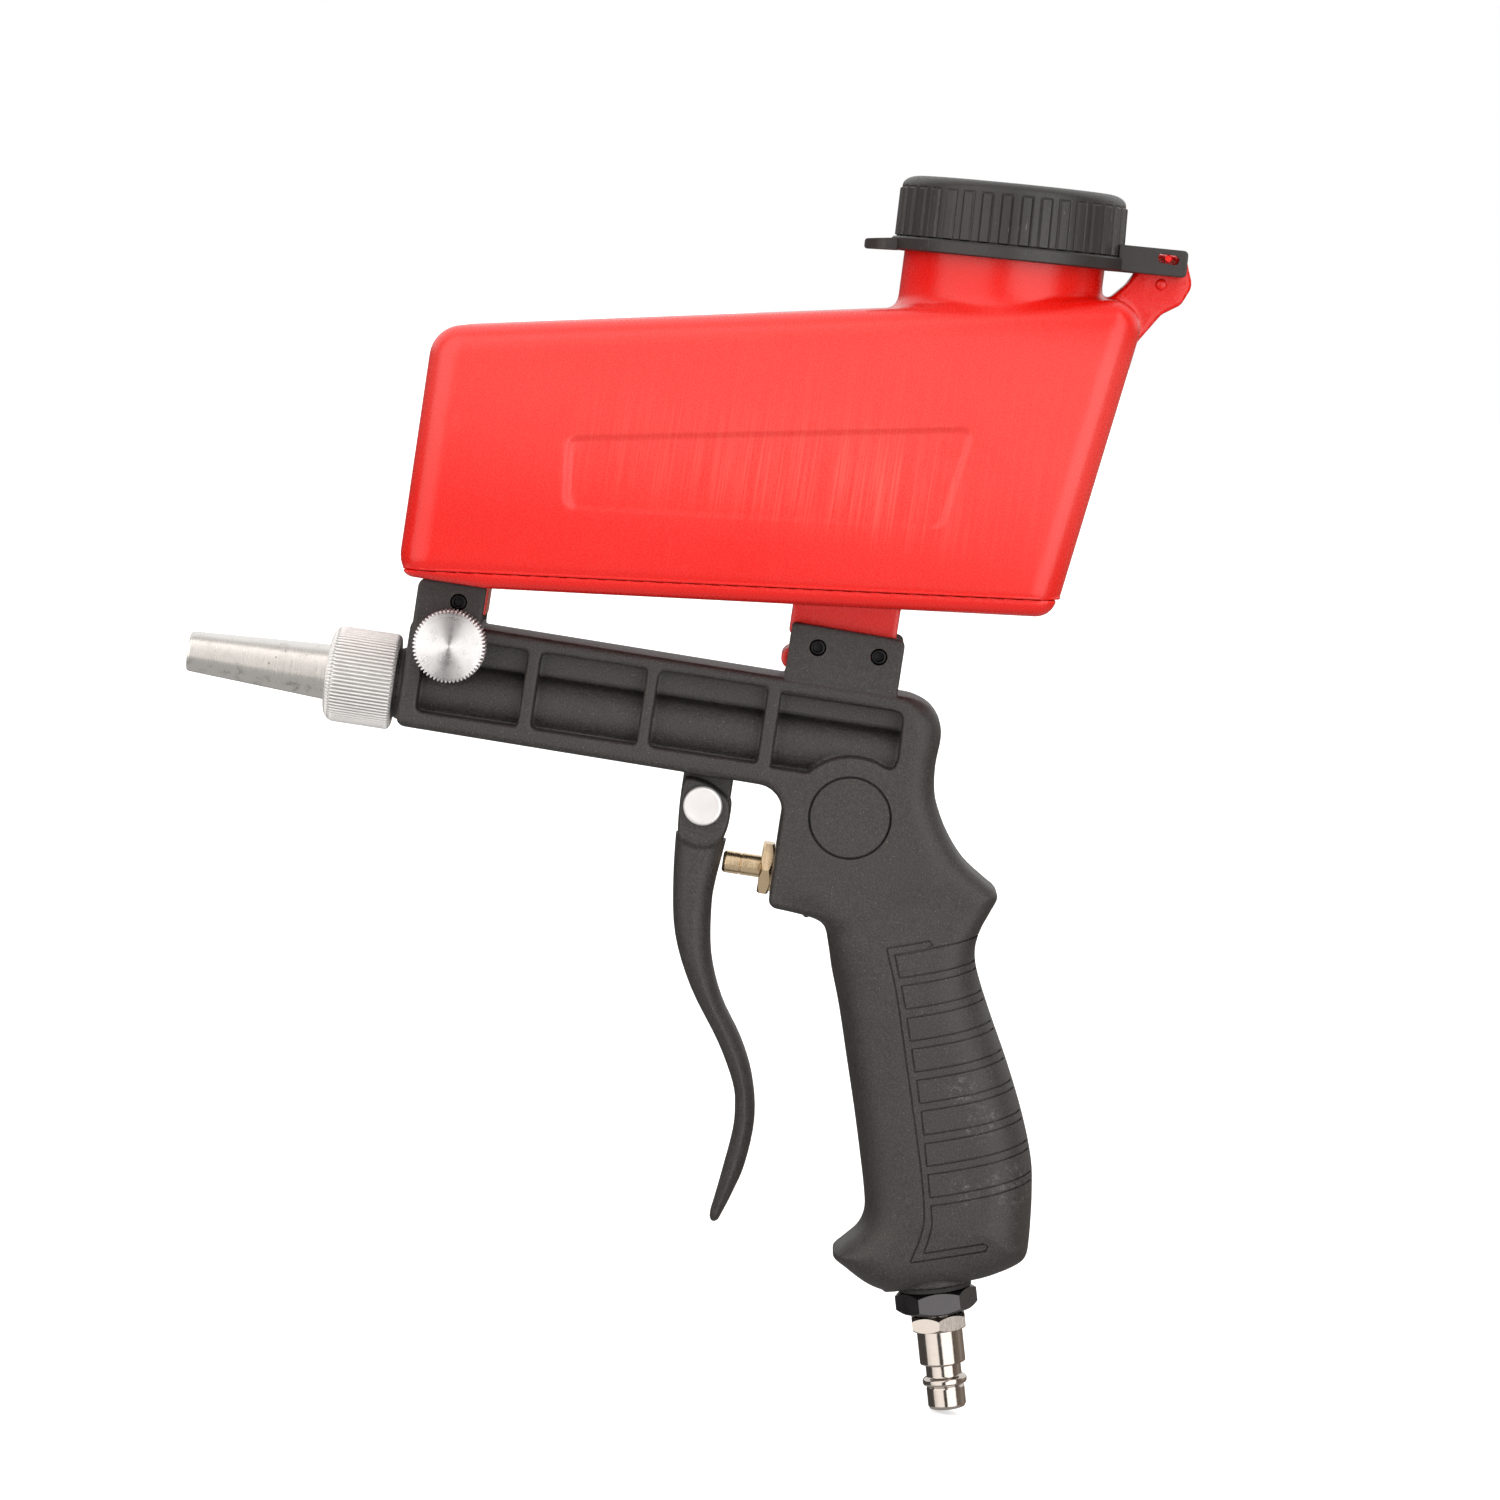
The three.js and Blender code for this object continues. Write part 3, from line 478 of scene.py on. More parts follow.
# The comb on the grip: its left line, and the cells between its fingers as (top left, bottom left).
COMB_SPINE = [(42.6, -47.7), (47, -59.2), (52, -75.7), (56.5, -90.7), (60, -102.7), (62, -110.7), (63, -116.7),
              (62.6, -121.7), (61.2, -128)]
COMB_CELLS = [((44.9, -49.0), (47.1, -54.8)), ((47.8, -56.8), (49.9, -62.5)), ((50.5, -64.8), (52.3, -70.5)),
              ((53.0, -72.6), (54.7, -78.3)), ((55.5, -80.4), (57.2, -86.2)), ((57.9, -88.2), (59.5, -94.2)),
              ((60.1, -96.4), (61.5, -102.2)), ((62.2, -104.3), (63.6, -110.2))]
COMB_RISE = (0.3, 0.012)  # slope of a finger, and how fast it curves up
COMB_DEPTH, COMB_LINE = 0.55, 0.25  # depth and half width of its lines


def finger_line(start, reach):
    """A line from the spine towards the back of the grip."""
    slope, bend = COMB_RISE
    return [Vector((start[0] + t, start[1] + slope * t + bend * t * t * 0.25))
            for t in (reach * k / 12 for k in range(13))]


def ribbon(points, half):
    """The closed outline of a thin line."""
    left, right = [], []
    for i, p in enumerate(points):
        ahead = (points[min(i + 1, len(points) - 1)] - points[max(i - 1, 0)]).normalized()
        side = Vector((-ahead[1], ahead[0])) * half
        left.append(p + side)
        right.append(p - side)
    return left + right[::-1]


def comb_lines():
    spine = curved(COMB_SPINE, 4)
    tip = finger_line(COMB_SPINE[0], 10.6)
    top = tip + [tip[-1] + Vector((1, -0.9))] + [p + Vector((0.4, -2.1)) for p in tip[3:-1][::-1]]
    lines = [spine, top + [Vector(COMB_CELLS[0][0]) + Vector((0.3, 0.2))]]
    for high, low in COMB_CELLS:
        upper, lower = finger_line(high, 34), finger_line(low, 34)
        lines += [upper[::-1] + [Vector(low)], lower]
    foot_top, foot_low = Vector((64.2, -112.3)), Vector((64.3, -125))
    foot = [foot_low] + [Vector(p) for p in ((79.2, -120.1), (80.4, -120.6), (80.1, -122), (61.4, -128))]
    heel = curved([foot_top, (65.2, -118), foot_low], 5)
    return lines + [finger_line(foot_top, 30)[::-1] + heel, foot]


def gun_body(material):
    g = Grid((-106.5, 0, -139), (92.5, 16, 33), 0.5)
    outside = casting_field(g)
    body = thinned(g.solid("gun_body_shell", bored_field(g, outside)), triangles=165000)
    tools = [rod(at_y(screw, -14), Y, 2.2, 0, 7, 40) for screw in SCREWS.values()]
    tools += [rod(at_y(FLOW, -14), Y, 4.5, 0, 28, 48), rod(at_y(PIVOT, -6), Y, 2.8, 0, 12, 40)]
    inner, outer = PAD_R - 0.32, PAD_R + 0.32
    groove = [(inner, 0), (outer, 0), (outer, 2), (inner, 2)]
    tools += [turned("tool", groove, at_y(PAD, side * (BODY_HALF - 0.6)), (0, side, 0), 96) for side in (-1, 1)]
    cut(body, *tools)
    for side in (-1, 1):
        low, high = sorted((side * 5, side * 17))
        cutters = [prism("tool", ribbon(line, COMB_LINE), low, high) for line in comb_lines()]
        comb = joined(*cutters)
        cut(comb, g.solid("core", outside + COMB_DEPTH))
        cut(body, comb)
    finished(body, "gun", "gun_body", material, 40, moulded=True)


# ---- hopper

HOPPER = rounded([(-95.8, 93.3, 8.5), (83.1, 127.6, 7), (71.4, 43.4, 8), (-95.8, 27.2, 7.6)], 8)
BASE = rounded([(-95.0, 60), (72.9, 60), (70.7, 43.9, 5.4), (-72.6, 29.4, 5), (-94.7, 29.5, 3)], 8)
PANEL = rounded([(-57.2, 70.6, 2.5), (43.4, 88.2, 2), (39.4, 62.4, 3), (-55.4, 53.1, 3)])
BRACKET = rounded([(66, 114), (70, 123.4, 3), (74.2, 126.6, 1.5), (77.6, 130.4, 3), (80.3, 135.4),
                   (81.2, 139.2, 2), (91.6, 139.6, 2.6), (94.4, 132.4, 4), (92.2, 127.2, 3), (87.6, 124, 3),
                   (80, 112)])
BUTTON = (86.3, 131.6)  # small raised dots on the hinge bracket
NECK_R, NECK_LEAN = 25.9, radians(1.2)


def lid_point(along, up):
    return Vector((LID[0] + along * cos(LID_TILT) - up * sin(LID_TILT), 0,
                   LID[1] + along * sin(LID_TILT) + up * cos(LID_TILT)))


LID_UP = lid_point(0, 1) - lid_point(0, 0)
WALL = 2.4
NECK_UP = Vector((-sin(NECK_LEAN), 0, cos(NECK_LEAN)))
NECK_BASE = lid_point(0, 7.1) + Vector((-0.6, 0, 0)) - NECK_UP * 7.1


def under(line):
    """A tool that holds everything below a sloping line."""
    x, z, slope = line
    top = [(at, z + (at - x) * slope) for at in (130, -130)]
    return prism("tool", [(-130, -60), (130, -60), *top], -60, 60)


def rim_bead(obj, line, radius):
    """A thin round bead along the outer edge that a piece has on a sloping line."""
    x, z, slope = line
    middle = -12  # X of the hopper's middle
    bm = bmesh.new()
    bm.from_mesh(obj.data)
    on_line = [v for v in bm.verts if abs(v.co.z - z - (v.co.x - x) * slope) < 1e-3]
    spokes = {}
    for v in on_line:
        at = Vector((v.co.x - middle, v.co.y))
        key = round(degrees(atan2(at.y, at.x)) / 2)
        if key not in spokes or at.length > spokes[key].length:
            spokes[key] = at
    bm.free()
    loop = [spokes[key] for key in sorted(spokes)]
    points = [(at.x + middle, at.y, z + (at.x + middle - x) * slope + radius * 0.9) for at in loop]
    return wire("tool", points, radius, 3, closed=True)


def hopper_shell(material):
    g = Grid((-98, 0, 24), (96, 32.3, 148), 0.7)
    flat = g.outline(HOPPER)
    sink = 0.9  # of the side panels
    half = HOPPER_HALF - sink * step_up(-g.outline(PANEL), -sink, sink)
    dent = np.hypot(g.x + 88, g.z - 71)  # a shallow dent near the front
    half = half - 0.25 * step_up(-dent, -3.5, 0)
    solid = blended(g.slab(flat, half, 8), g.tilted_bar(NECK_BASE, NECK_UP, NECK_R, -22, 14.2), 3.4)
    solid = blended(solid, g.slab(g.outline(BRACKET), 5.6, 0.9), 1.2)
    shell = g.solid("hopper_shell_moulding", solid)
    coarse = Grid((-96, 0, 24), (86, 31, 130), 1.8)
    core = coarse.solid("tool", coarse.slab(coarse.outline(HOPPER), HOPPER_HALF, 8) + WALL)
    cut(shell, core, rod(NECK_BASE, NECK_UP, NECK_R - 2.2, -24, 16, 128), under(SEAM))
    peg = [(0, -9.2), (0.75, -9.2), (0.95, -9), (0.95, 9), (0.75, 9.2), (0, 9.2)]
    button = [(0, 5), (1.5, 5), (1.5, 5.7), (1.25, 6.1), (0.7, 6.35), (0, 6.4)]
    bumps = [turned("tool", button, at_y(BUTTON), (0, side, 0), 32) for side in (-1, 1)]
    joined(shell, turned("tool", peg, at_y(HINGE), Y, 32), *bumps, rim_bead(shell, SEAM, 0.42))
    thinned(shell, triangles=180000)
    finished(shell, "gun", "hopper_shell", material, moulded=True)


def hopper_base(material):
    g = Grid((-97, 0, 17), (75, 31, 52), 0.5)
    seam = SEAM[1] + (g.x - SEAM[0]) * SEAM[2]
    tray = np.maximum(g.slab(g.outline(BASE), HOPPER_HALF - 0.8, 4.2), g.z - seam + 0.15)
    spout = rounded([(SPOUT_X - 7.3, 21.1), (SPOUT_X + 7.3, 21.1), (SPOUT_X + 7.3, 33), (SPOUT_X - 7.3, 33)])
    leg = rounded([(5.3, 29.2), (6.9, 28.2), (6.9, 18.4, 0.8), (33, 18.4, 0.8), (33, 41), (5.3, 41)])
    bump = np.maximum(np.hypot(g.x - 7.2, g.z - 22.4) - 2.9, np.abs(g.y) - 7.8)
    solid = blended(tray, g.slab(g.outline(spout), 8, 0.6), 0.5)
    solid = blended(solid, g.slab(g.outline(leg), 8, 0.6), 1.6)
    solid = blended(solid, bump, 0.5)
    base = g.solid("hopper_base_moulding", solid)
    inner = rounded([(-92.4, 60), (70, 60), (67.6, 47, 3), (-92.4, 31.6, 3)])
    room = prism("tool", inner, -27.6, 27.6, 2.5, 4)
    cut(base, room, rod(X * SPOUT_X, Z, 4.2, 10, 60, 48))
    thinned(base, triangles=90000)
    finished(base, "gun", "hopper_base", material, moulded=True)


# ---- lid

LID_RIBS = 36


def lid_rib(angle, radius, distance):
    """The dome's radius with its upright grip ribs, each a raised bar with a fine sunk outline."""
    if not 28.6 < radius < 29.6 or not 3.9 < distance < 17.5:
        return radius
    half_width, middle, half_height = 1.25, 9.9, 6.2
    pitch = 2 * pi * 29.4 / LID_RIBS
    across = abs((angle * LID_RIBS / (2 * pi)) % 1 - 0.5) * pitch - half_width
    apart = max(across, abs(distance - middle) - half_height)
    rise = min(max((0.12 - apart) / 0.3, 0), 1)
    groove = max(1 - abs(apart - 0.3) / 0.22, 0)
    return radius + 0.5 * rise * rise * (3 - 2 * rise) - 0.16 * groove


def tilted(corners):
    """An outline given in the lid's own leaning frame."""
    return [lid_point(*p).xz for p in rounded(corners)]


def hopper_lid(material):
    side = [(29.25 - 0.02 * d, d) for d in (3.95, 4.05, 4.15, 4.25, 4.35, 4.5)]
    side += [(29.25 - 0.02 * d, d) for d in (6, 8, 10, 12, 14, 15.5, 15.75, 15.9, 16.05, 16.2, 16.35, 16.6)]
    dome = [(24.3 + 4.6 * cos(a), 16.7 + 2.7 * sin(a)) for a in (pi / 2 * k / 9 for k in range(10))]
    profile = [(27.5, 0), (29.9, 0), (30.3, 0.4), (30.3, 3.1), (29.95, 3.5), (29.3, 3.6), (29.0, 3.75)]
    profile += side + dome + [(20, 19.45), (12, 19.3), (0, 19.25), (0, 16.7), (27, 16.7), (27.5, 16.2)]
    lid = turned("hopper_lid_moulding", profile, lid_point(0, 0), LID_UP, LID_RIBS * 30, lid_rib)
    tab = tilted([(-37.2, -0.5, 0.8), (-28.5, -0.1), (-28.5, 3.1), (-37.2, 2.1, 0.8)])
    tab = prism("tool", tab, -9, 9, 0.25)
    combined(tab, [rod(lid_point(-27, 0), LID_UP, 10.2, -6, 8, 64)], "INTERSECT")
    lug = prism("tool", tilted([(27.8, 0), (45.6, 0, 1.2), (45.6, 6.9, 1.2), (27.8, 6.9)]), -9.4, 9.4, 0.45)
    slot = tilted([(37.7, 3.3, 1.2), (43.2, 2.9, 1.2), (43.6, 5.3, 1.2), (38.1, 5.9, 1.2)])
    slot = prism("tool", slot, -14, 14)
    cut(lug, slot, brick(76.8, 110, -6.6, 6.6, 120, 150))
    cut(lug, rod(lid_point(0, 0), LID_UP, 27.5, -3, 16.2, 96))
    joined(lid, tab, lug)
    finished(lid, "lid", "hopper_lid", material)


def lid_seal(material):
    profile = [(0, 0), (26.2, 0), (26.5, 0.15), (26.9, 0.5), (26.5, 0.85), (26.2, 1), (0, 1)]
    seal = turned("lid_seal_disc", profile, lid_point(0, 15.4), LID_UP, 128)
    finished(seal, "lid", "lid_seal", material)


# ---- trigger

BLADE_FRONT = [(-16.1, -12.8), (-15.4, -11.8), (-13.6, -11.6), (-9.4, -12.1), (-5.6, -13.8), (-3, -16.2),
               (-2.2, -20), (-2.5, -26), (-3.1, -32), (-3.7, -38), (-3.8, -45), (-2, -57.6), (2.4, -68.6),
               (8.8, -78.2), (13.2, -87.4), (15.7, -98.5), (15, -110.6), (13, -118.4), (11, -124.4),
               (10.1, -126.5), (8.7, -126.9)]
BLADE_BACK = [(7.9, -125.4), (8.4, -121.5), (9.4, -113.6), (10.5, -103), (10.1, -96), (8.6, -90), (3.2, -80),
              (-6, -66.8), (-12.1, -53.6), (-14.7, -39.6), (-15.9, -26), (-16.2, -18)]
CHEEK = [(-15.6, -13.4), (-14.4, -12.3), (-10, -12.9), (-5, -15.4), (-3, -17.5), (-2.6, -20), (-2.8, -24),
         (-4, -27), (-6.5, -29.3), (-10, -29.8), (-13.5, -29), (-15.2, -27), (-16, -18)]


def trigger(material):
    g = Grid((-17.2, 0, -128.2), (17, 9, -10.6), 0.34)
    blade = g.slab(g.outline(curved(BLADE_FRONT + BLADE_BACK, 4, closed=True)), 7.3, 4.6, 1.7)
    cheek = g.slab(g.outline(curved(CHEEK, 4, closed=True)), 8.1, 1.0)
    solid = blended(blade, cheek, 1.0)
    piece = g.solid("trigger_blade", solid)
    cut(piece, brick(-20, 0.4, -5, 5, -27.6, -8), rod(at_y(PIVOT), Y, 2.8, -10, 10, 48))
    thinned(piece, triangles=60000)
    finished(piece, "trigger", "trigger", material, moulded=True)


# ---- turned pieces

def hexagon(point, direction, across, start, end, flat_turn=0.0, chamfer=0.8):
    """A hexagon bar with its corners chamfered at both ends."""
    radius = across / sqrt(3)
    tool = rod(point, direction, radius, start, end, 6)
    tool.data.transform(Matrix.Translation(point) @ Matrix.Rotation(flat_turn, 4, direction)
                        @ Matrix.Translation(-point))
    flat = across / 2 - 0.1
    crown = [(0, start), (flat, start), (radius, start + chamfer), (radius, end - chamfer), (flat, end),
             (0, end)]
    return combined(tool, [turned("tool", crown, point, direction, 96)], "INTERSECT")


def nozzle(material):
    profile = [(3.1, 3), (3.3, 0.5), (3.6, 0.05), (4.7, 0), (5.05, 0.12), (5.25, 0.6), (7.3, 37.8), (7.35, 38),
               (9.1, 38), (9.2, 38.1), (9.2, 40.8), (5.8, 40.8), (3.1, 28)]
    piece = turned("nozzle_tip", profile, Vector((NOZZLE_TIP, 0, 0)), X, 128)
    finished(piece, "nozzle", "nozzle", material)


def knurled_piece(name, profile, point, direction, teeth, depth, above):
    """A turned piece with teeth cut into its rim, down to a radius."""
    def shape(angle, radius, distance):
        wave = abs((angle * teeth / (2 * pi)) % 1 - 0.5) * 2
        rise = min(max((wave - 0.25) / 0.6, 0), 1)
        return min(radius, max(radius - depth * rise * rise * (3 - 2 * rise), above))
    return turned(name, profile, point, direction, teeth * 10, shape)


def nozzle_collar(material):
    profile = [(7.7, 0.35), (8.0, 0), (9.5, 0), (10.6, 0.35), (11.4, 0.9), (12.1, 1.6), (12.45, 2.5),
               (12.5, 3), (12.5, 16.8), (12.2, 17.3), (11.7, 17.7), (11.3, 17.8), (9.8, 17.8), (9.8, 17.2),
               (9.6, 16.9), (9.6, 0.9), (7.7, 0.9)]
    place = X * COLLAR_FRONT
    piece = knurled_piece("nozzle_collar_knurled", profile, place, X, teeth=76, depth=0.6, above=10.9)
    finished(piece, "collar", "nozzle_collar", material, 50)


def flow_knob(material):
    profile = [(0, 0.06), (0.5, 0), (9.15, 0), (9.4, 0.15), (9.4, 7.1), (8.9, 7.7), (3, 7.7), (3, 3.4),
               (0, 3.4)]
    piece = knurled_piece("flow_knob_face", profile, at_y(FLOW, -21), Y, teeth=56, depth=0.75, above=8.5)
    finished(piece, "flow_valve", "flow_knob", material, 50)


def flow_spindle(material):
    r, g = 4.2, 3.0
    profile = [(0, 0), (2.7, 0), (2.7, 4.4), (r, 4.4), (r, 6.4), (g, 6.4), (g, 8.4), (r, 8.4), (r, 25.8),
               (g, 25.8), (g, 27.8), (r, 27.8), (r, 30.5), (g, 30.5), (g, 32), (r, 32), (r, 33),
               (r - 0.4, 33.4), (0, 33.4)]
    piece = turned("flow_spindle_bar", profile, at_y(FLOW, -17.3), Y, 64)
    nick = brick(FLOW[0] - 3.2, FLOW[0] + 3.2, 15.3, 17, FLOW[1] - 0.5, FLOW[1] + 0.5)
    cut(piece, rod(at_y(FLOW), Z, 3, -6, 6, 40), nick)
    finished(piece, "flow_valve", "flow_spindle", material)


def ring_clip(name, point, outer, inner, mouth, body, node, material):
    profile = [(inner, 0.08), (inner + 0.08, 0), (outer - 0.12, 0), (outer, 0.12), (outer, 0.68),
               (outer - 0.12, 0.8), (inner + 0.08, 0.8), (inner, 0.72)]
    piece = turned(name, profile, point, Y, 96)
    x, y, z = point
    cut(piece, brick(x - mouth, x + mouth, y - 2, y + 2, z - outer - 1, z))
    finished(piece, body, node, material)


def trigger_pin(material):
    profile = [(0, 0.1), (3.2, 0.05), (4.3, 0), (4.75, 0.12), (5.05, 0.5), (5.05, 1.7), (4.8, 2), (2.4, 2),
               (2.4, 18.7), (1.7, 18.7), (1.7, 20.2), (2.4, 20.2), (2.4, 21), (2.2, 21.2), (0, 21.2)]
    piece = turned("trigger_pin_turned", profile, at_y(PIVOT, -10.4), Y, 96)
    cut(piece, brick(PIVOT[0] + 3.3, PIVOT[0] + 5.4, -10.6, -9.5, PIVOT[1] - 4.6, PIVOT[1] - 3.1))
    finished(piece, "gun", "trigger_pin", material)


def valve_stem(material):
    profile = [(0, 0), (2.1, 0), (2.55, 0.2), (2.9, 0.75), (2.9, 4.4), (2.72, 4.5), (2.72, 4.8), (2.9, 4.9),
               (2.9, 13), (1.8, 13), (1.8, 15), (2.9, 15), (2.9, 21.6), (1.8, 23.2), (1.8, 34.2), (4.9, 34.2),
               (4.9, 37.2), (1.8, 37.2), (1.8, 43), (1.2, 43.6), (0, 43.6)]
    piece = turned("valve_stem_turned", profile, Vector((-2.7, 0, VALVE_Z)), X, 64)
    finished(piece, "plunger", "valve_stem", material)


def valve_spring(material):
    """A coil between the valve disc and the rear wall."""
    front, back, coil, thick, turns = 34.95, 49.35, 3.7, 0.5, 6.5
    flat = 0.8  # turns that lie flat at each end
    count = int(turns * 32)
    points = []
    for k in range(count + 1):
        t = k / count
        rise = min(max((t * turns - flat) / (turns - 2 * flat), 0), 1)
        along = front + thick + thick * 2.1 * min(t * turns, flat)
        along += rise * (back - front - 2 * thick - thick * 3.4)
        along += thick * 2.1 * max(t * turns - turns + flat, 0)
        angle = 2 * pi * turns * t
        points.append((along, coil * cos(angle), VALVE_Z + coil * sin(angle)))
    spring = wire("valve_spring_coil", points, thick, 4)
    ends = row_place(back - 1, VALVE_Z), row_place(front + 1, VALVE_Z)
    finished(spring, ("gun", "plunger", *ends), "valve_spring", material, moulded=True)


def valve_gland_nut(material):
    place = Vector((0, 0, VALVE_Z))
    piece = hexagon(place, X, 13.1, 7.2, 10.2, 0, 0.7)
    piece.name = "valve_gland_nut_turned"
    joined(piece, rod(place, X, 6, 9.7, 19, 64))
    cut(piece, rod(place, X, 3.3, 6, 20, 64))
    finished(piece, "gun", "valve_gland_nut", material)


def inlet_bushing(material):
    place = plug_point(26.2)
    piece = hexagon(place, PLUG_UP, 18.7, 0, 5.6, radians(34), 1.0)
    piece.name = "inlet_bushing_black"
    joined(piece, rod(place, PLUG_UP, 7.7, 4.8, 17.8, 64))
    cut(piece, rod(place, PLUG_UP, 5.2, -1.2, 18.8, 48))
    finished(piece, "gun", "inlet_bushing", material)


def air_plug(material):
    profile = [(0, 0), (4.2, 0), (4.6, 0.15), (5, 0.9), (5, 5.5), (4.7, 6.0), (4.75, 6.1), (5.6, 6.5),
               (5.8, 6.9), (5.8, 7.8), (5.6, 8.1), (4.75, 8.6), (4.65, 8.8), (4.65, 11.6), (5.0, 11.85),
               (5.9, 12.1), (6, 12.3), (6, 21.4), (0, 21.4)]
    piece = turned("air_plug_turned", profile, plug_point(0), PLUG_UP, 96)
    hexed = hexagon(plug_point(21), PLUG_UP, 14, 0, 4, 0, 0.9)
    joined(piece, hexed, rod(plug_point(0), PLUG_UP, 4.9, 24, 38, 48))
    cut(piece, rod(plug_point(0), PLUG_UP, 2.8, -1, 39, 48))
    finished(piece, "gun", "air_plug", material)


def set_screw(name, place, material):
    profile = [(0, 2.4), (1.1, 2.3), (1.12, 0.25), (1.3, 0), (1.6, 0), (1.8, 0.08), (2, 0.35), (2, 2.8),
               (1.2, 3.3), (0, 3.3)]

    def socket(angle, radius, distance):
        return radius if radius > 1.2 else radius / cos(angle % (pi / 3) - pi / 6)

    piece = turned(name + "_set_screw_turned", profile, at_y(place, SCREW_FACE), Y, 96, socket)
    finished(piece, "gun", name + "_set_screw", material)


# ---- materials

class Nodes:
    """A small helper that builds one procedural material, or the studio around the object."""

    def __init__(self, name, studio=None):
        self.material = studio or bpy.data.materials.new(name)
        self.material.use_nodes = True
        self.tree = self.material.node_tree
        self.shader = self.tree.nodes["Background" if studio else "Principled BSDF"]
        self.place = self.add("TexCoord").outputs["Generated" if studio else "Object"]

    def add(self, kind, **inputs):
        node = self.tree.nodes.new("ShaderNode" + kind)
        for key, value in inputs.items():
            if hasattr(node, key):
                setattr(node, key, value)
            else:
                self.feed(node.inputs[key.replace("_", " ")], value)
        return node

    def feed(self, socket, value):
        if isinstance(value, bpy.types.NodeSocket):
            self.tree.links.new(value, socket)
        else:
            socket.default_value = value

    def stretched(self, scale):
        return self.add("Mapping", Vector=self.place, Scale=scale).outputs["Vector"]

    def noise(self, scale, detail=3.0, vector=None, rough=0.5):
        vector = vector or self.place
        node = self.add("TexNoise", Vector=vector, Scale=scale, Detail=detail, Roughness=rough)
        return node.outputs["Fac"]

    def spots(self, scale):
        return self.add("TexVoronoi", feature="F1", Vector=self.place, Scale=scale).outputs["Distance"]

    def spread(self, value, low, high, to_low=0.0, to_high=1.0, kind="SMOOTHSTEP"):
        return self.add("MapRange", Value=value, From_Min=low, From_Max=high, To_Min=to_low, To_Max=to_high,
                        interpolation_type=kind).outputs["Result"]

    def split(self, vector):
        return list(self.add("SeparateXYZ", Vector=vector).outputs)

    def far_from(self, point, mask):
        """Distance from a point, counting only the axes in the mask."""
        flat = self.stretched(mask)
        node = self.add("VectorMath", operation="DISTANCE")
        self.feed(node.inputs[0], flat)
        self.feed(node.inputs[1], [a * b for a, b in zip(point, mask)])
        return node.outputs["Value"]

    def window(self, value, low, high, soft):
        """1 between two values, with soft ends."""
        rise = self.spread(value, low - soft, low + soft)
        return self.times(rise, self.spread(value, high + soft, high - soft))

    def maths(self, operation, a, b=0.0):
        node = self.add("Math", operation=operation)
        self.feed(node.inputs[0], a)
        self.feed(node.inputs[1], b)
        return node.outputs[0]

    def times(self, a, b):
        return self.maths("MULTIPLY", a, b)

    def plus(self, a, b):
        return self.maths("ADD", a, b)

    def mix(self, factor, a, b):
        node = self.add("Mix", data_type="RGBA")
        self.feed(node.inputs["Factor"], factor)
        for socket, colour in ((node.inputs["A"], a), (node.inputs["B"], b)):
            self.feed(socket, colour if isinstance(colour, bpy.types.NodeSocket) else (*colour, 1.0))
        return node.outputs["Result"]

    def bump(self, height, distance, strength=1.0, after=None):
        node = self.add("Bump", Height=height, Distance=distance, Strength=strength)
        if after is not None:
            self.tree.links.new(after, node.inputs["Normal"])
        return node.outputs["Normal"]

    def finish(self, **sockets):
        for key, value in sockets.items():
            self.feed(self.shader.inputs[key.replace("_", " ")], value)
        return self.material


def row_place(x, z):
    """A point of the design, in metres in the row frame."""
    return Vector((BARREL.x + x * MM, 0, BARREL.z + z * MM))


def row_height(z):
    return row_place(0, z).z


RUBBED = [(68, -81, 6), (74, -89, 7), (84, -104, 8), (72.5, -107, 5.5)]  # worn spots: x, z and reach


def powder_coat():
    n = Nodes("powder_coat")
    grain = n.noise(2400, 2, rough=0.6)
    cloud = n.noise(45, 3)
    dust = n.spread(n.spots(900), 0.13, 0.05)
    rare = n.spread(n.noise(420, 1), 0.46, 0.53)
    fleck = n.times(n.times(dust, rare), 0.55)
    base = n.mix(cloud, (0.018, 0.0162, 0.0156), (0.030, 0.0272, 0.026))
    base = n.mix(n.spread(grain, 0.42, 0.62, 0, 0.6), base, (0.065, 0.060, 0.058))
    colour = n.mix(fleck, base, (0.32, 0.30, 0.29))
    rubbed = 0.0
    for x, z, reach in RUBBED:
        near = n.spread(n.far_from(row_place(x, z), (1, 0, 1)), reach * MM, reach * MM * 0.3)
        rubbed = n.maths("MAXIMUM", rubbed, near)
    patch = n.times(n.spread(n.noise(620, 6, rough=0.8), 0.5, 0.68), rubbed)
    colour = n.mix(n.times(patch, 0.4), colour, (0.3, 0.29, 0.285))
    rough = n.spread(grain, 0.3, 0.7, 0.4, 0.6)
    return n.finish(Base_Color=colour, Roughness=rough, Normal=n.bump(grain, 0.00016, 0.7))


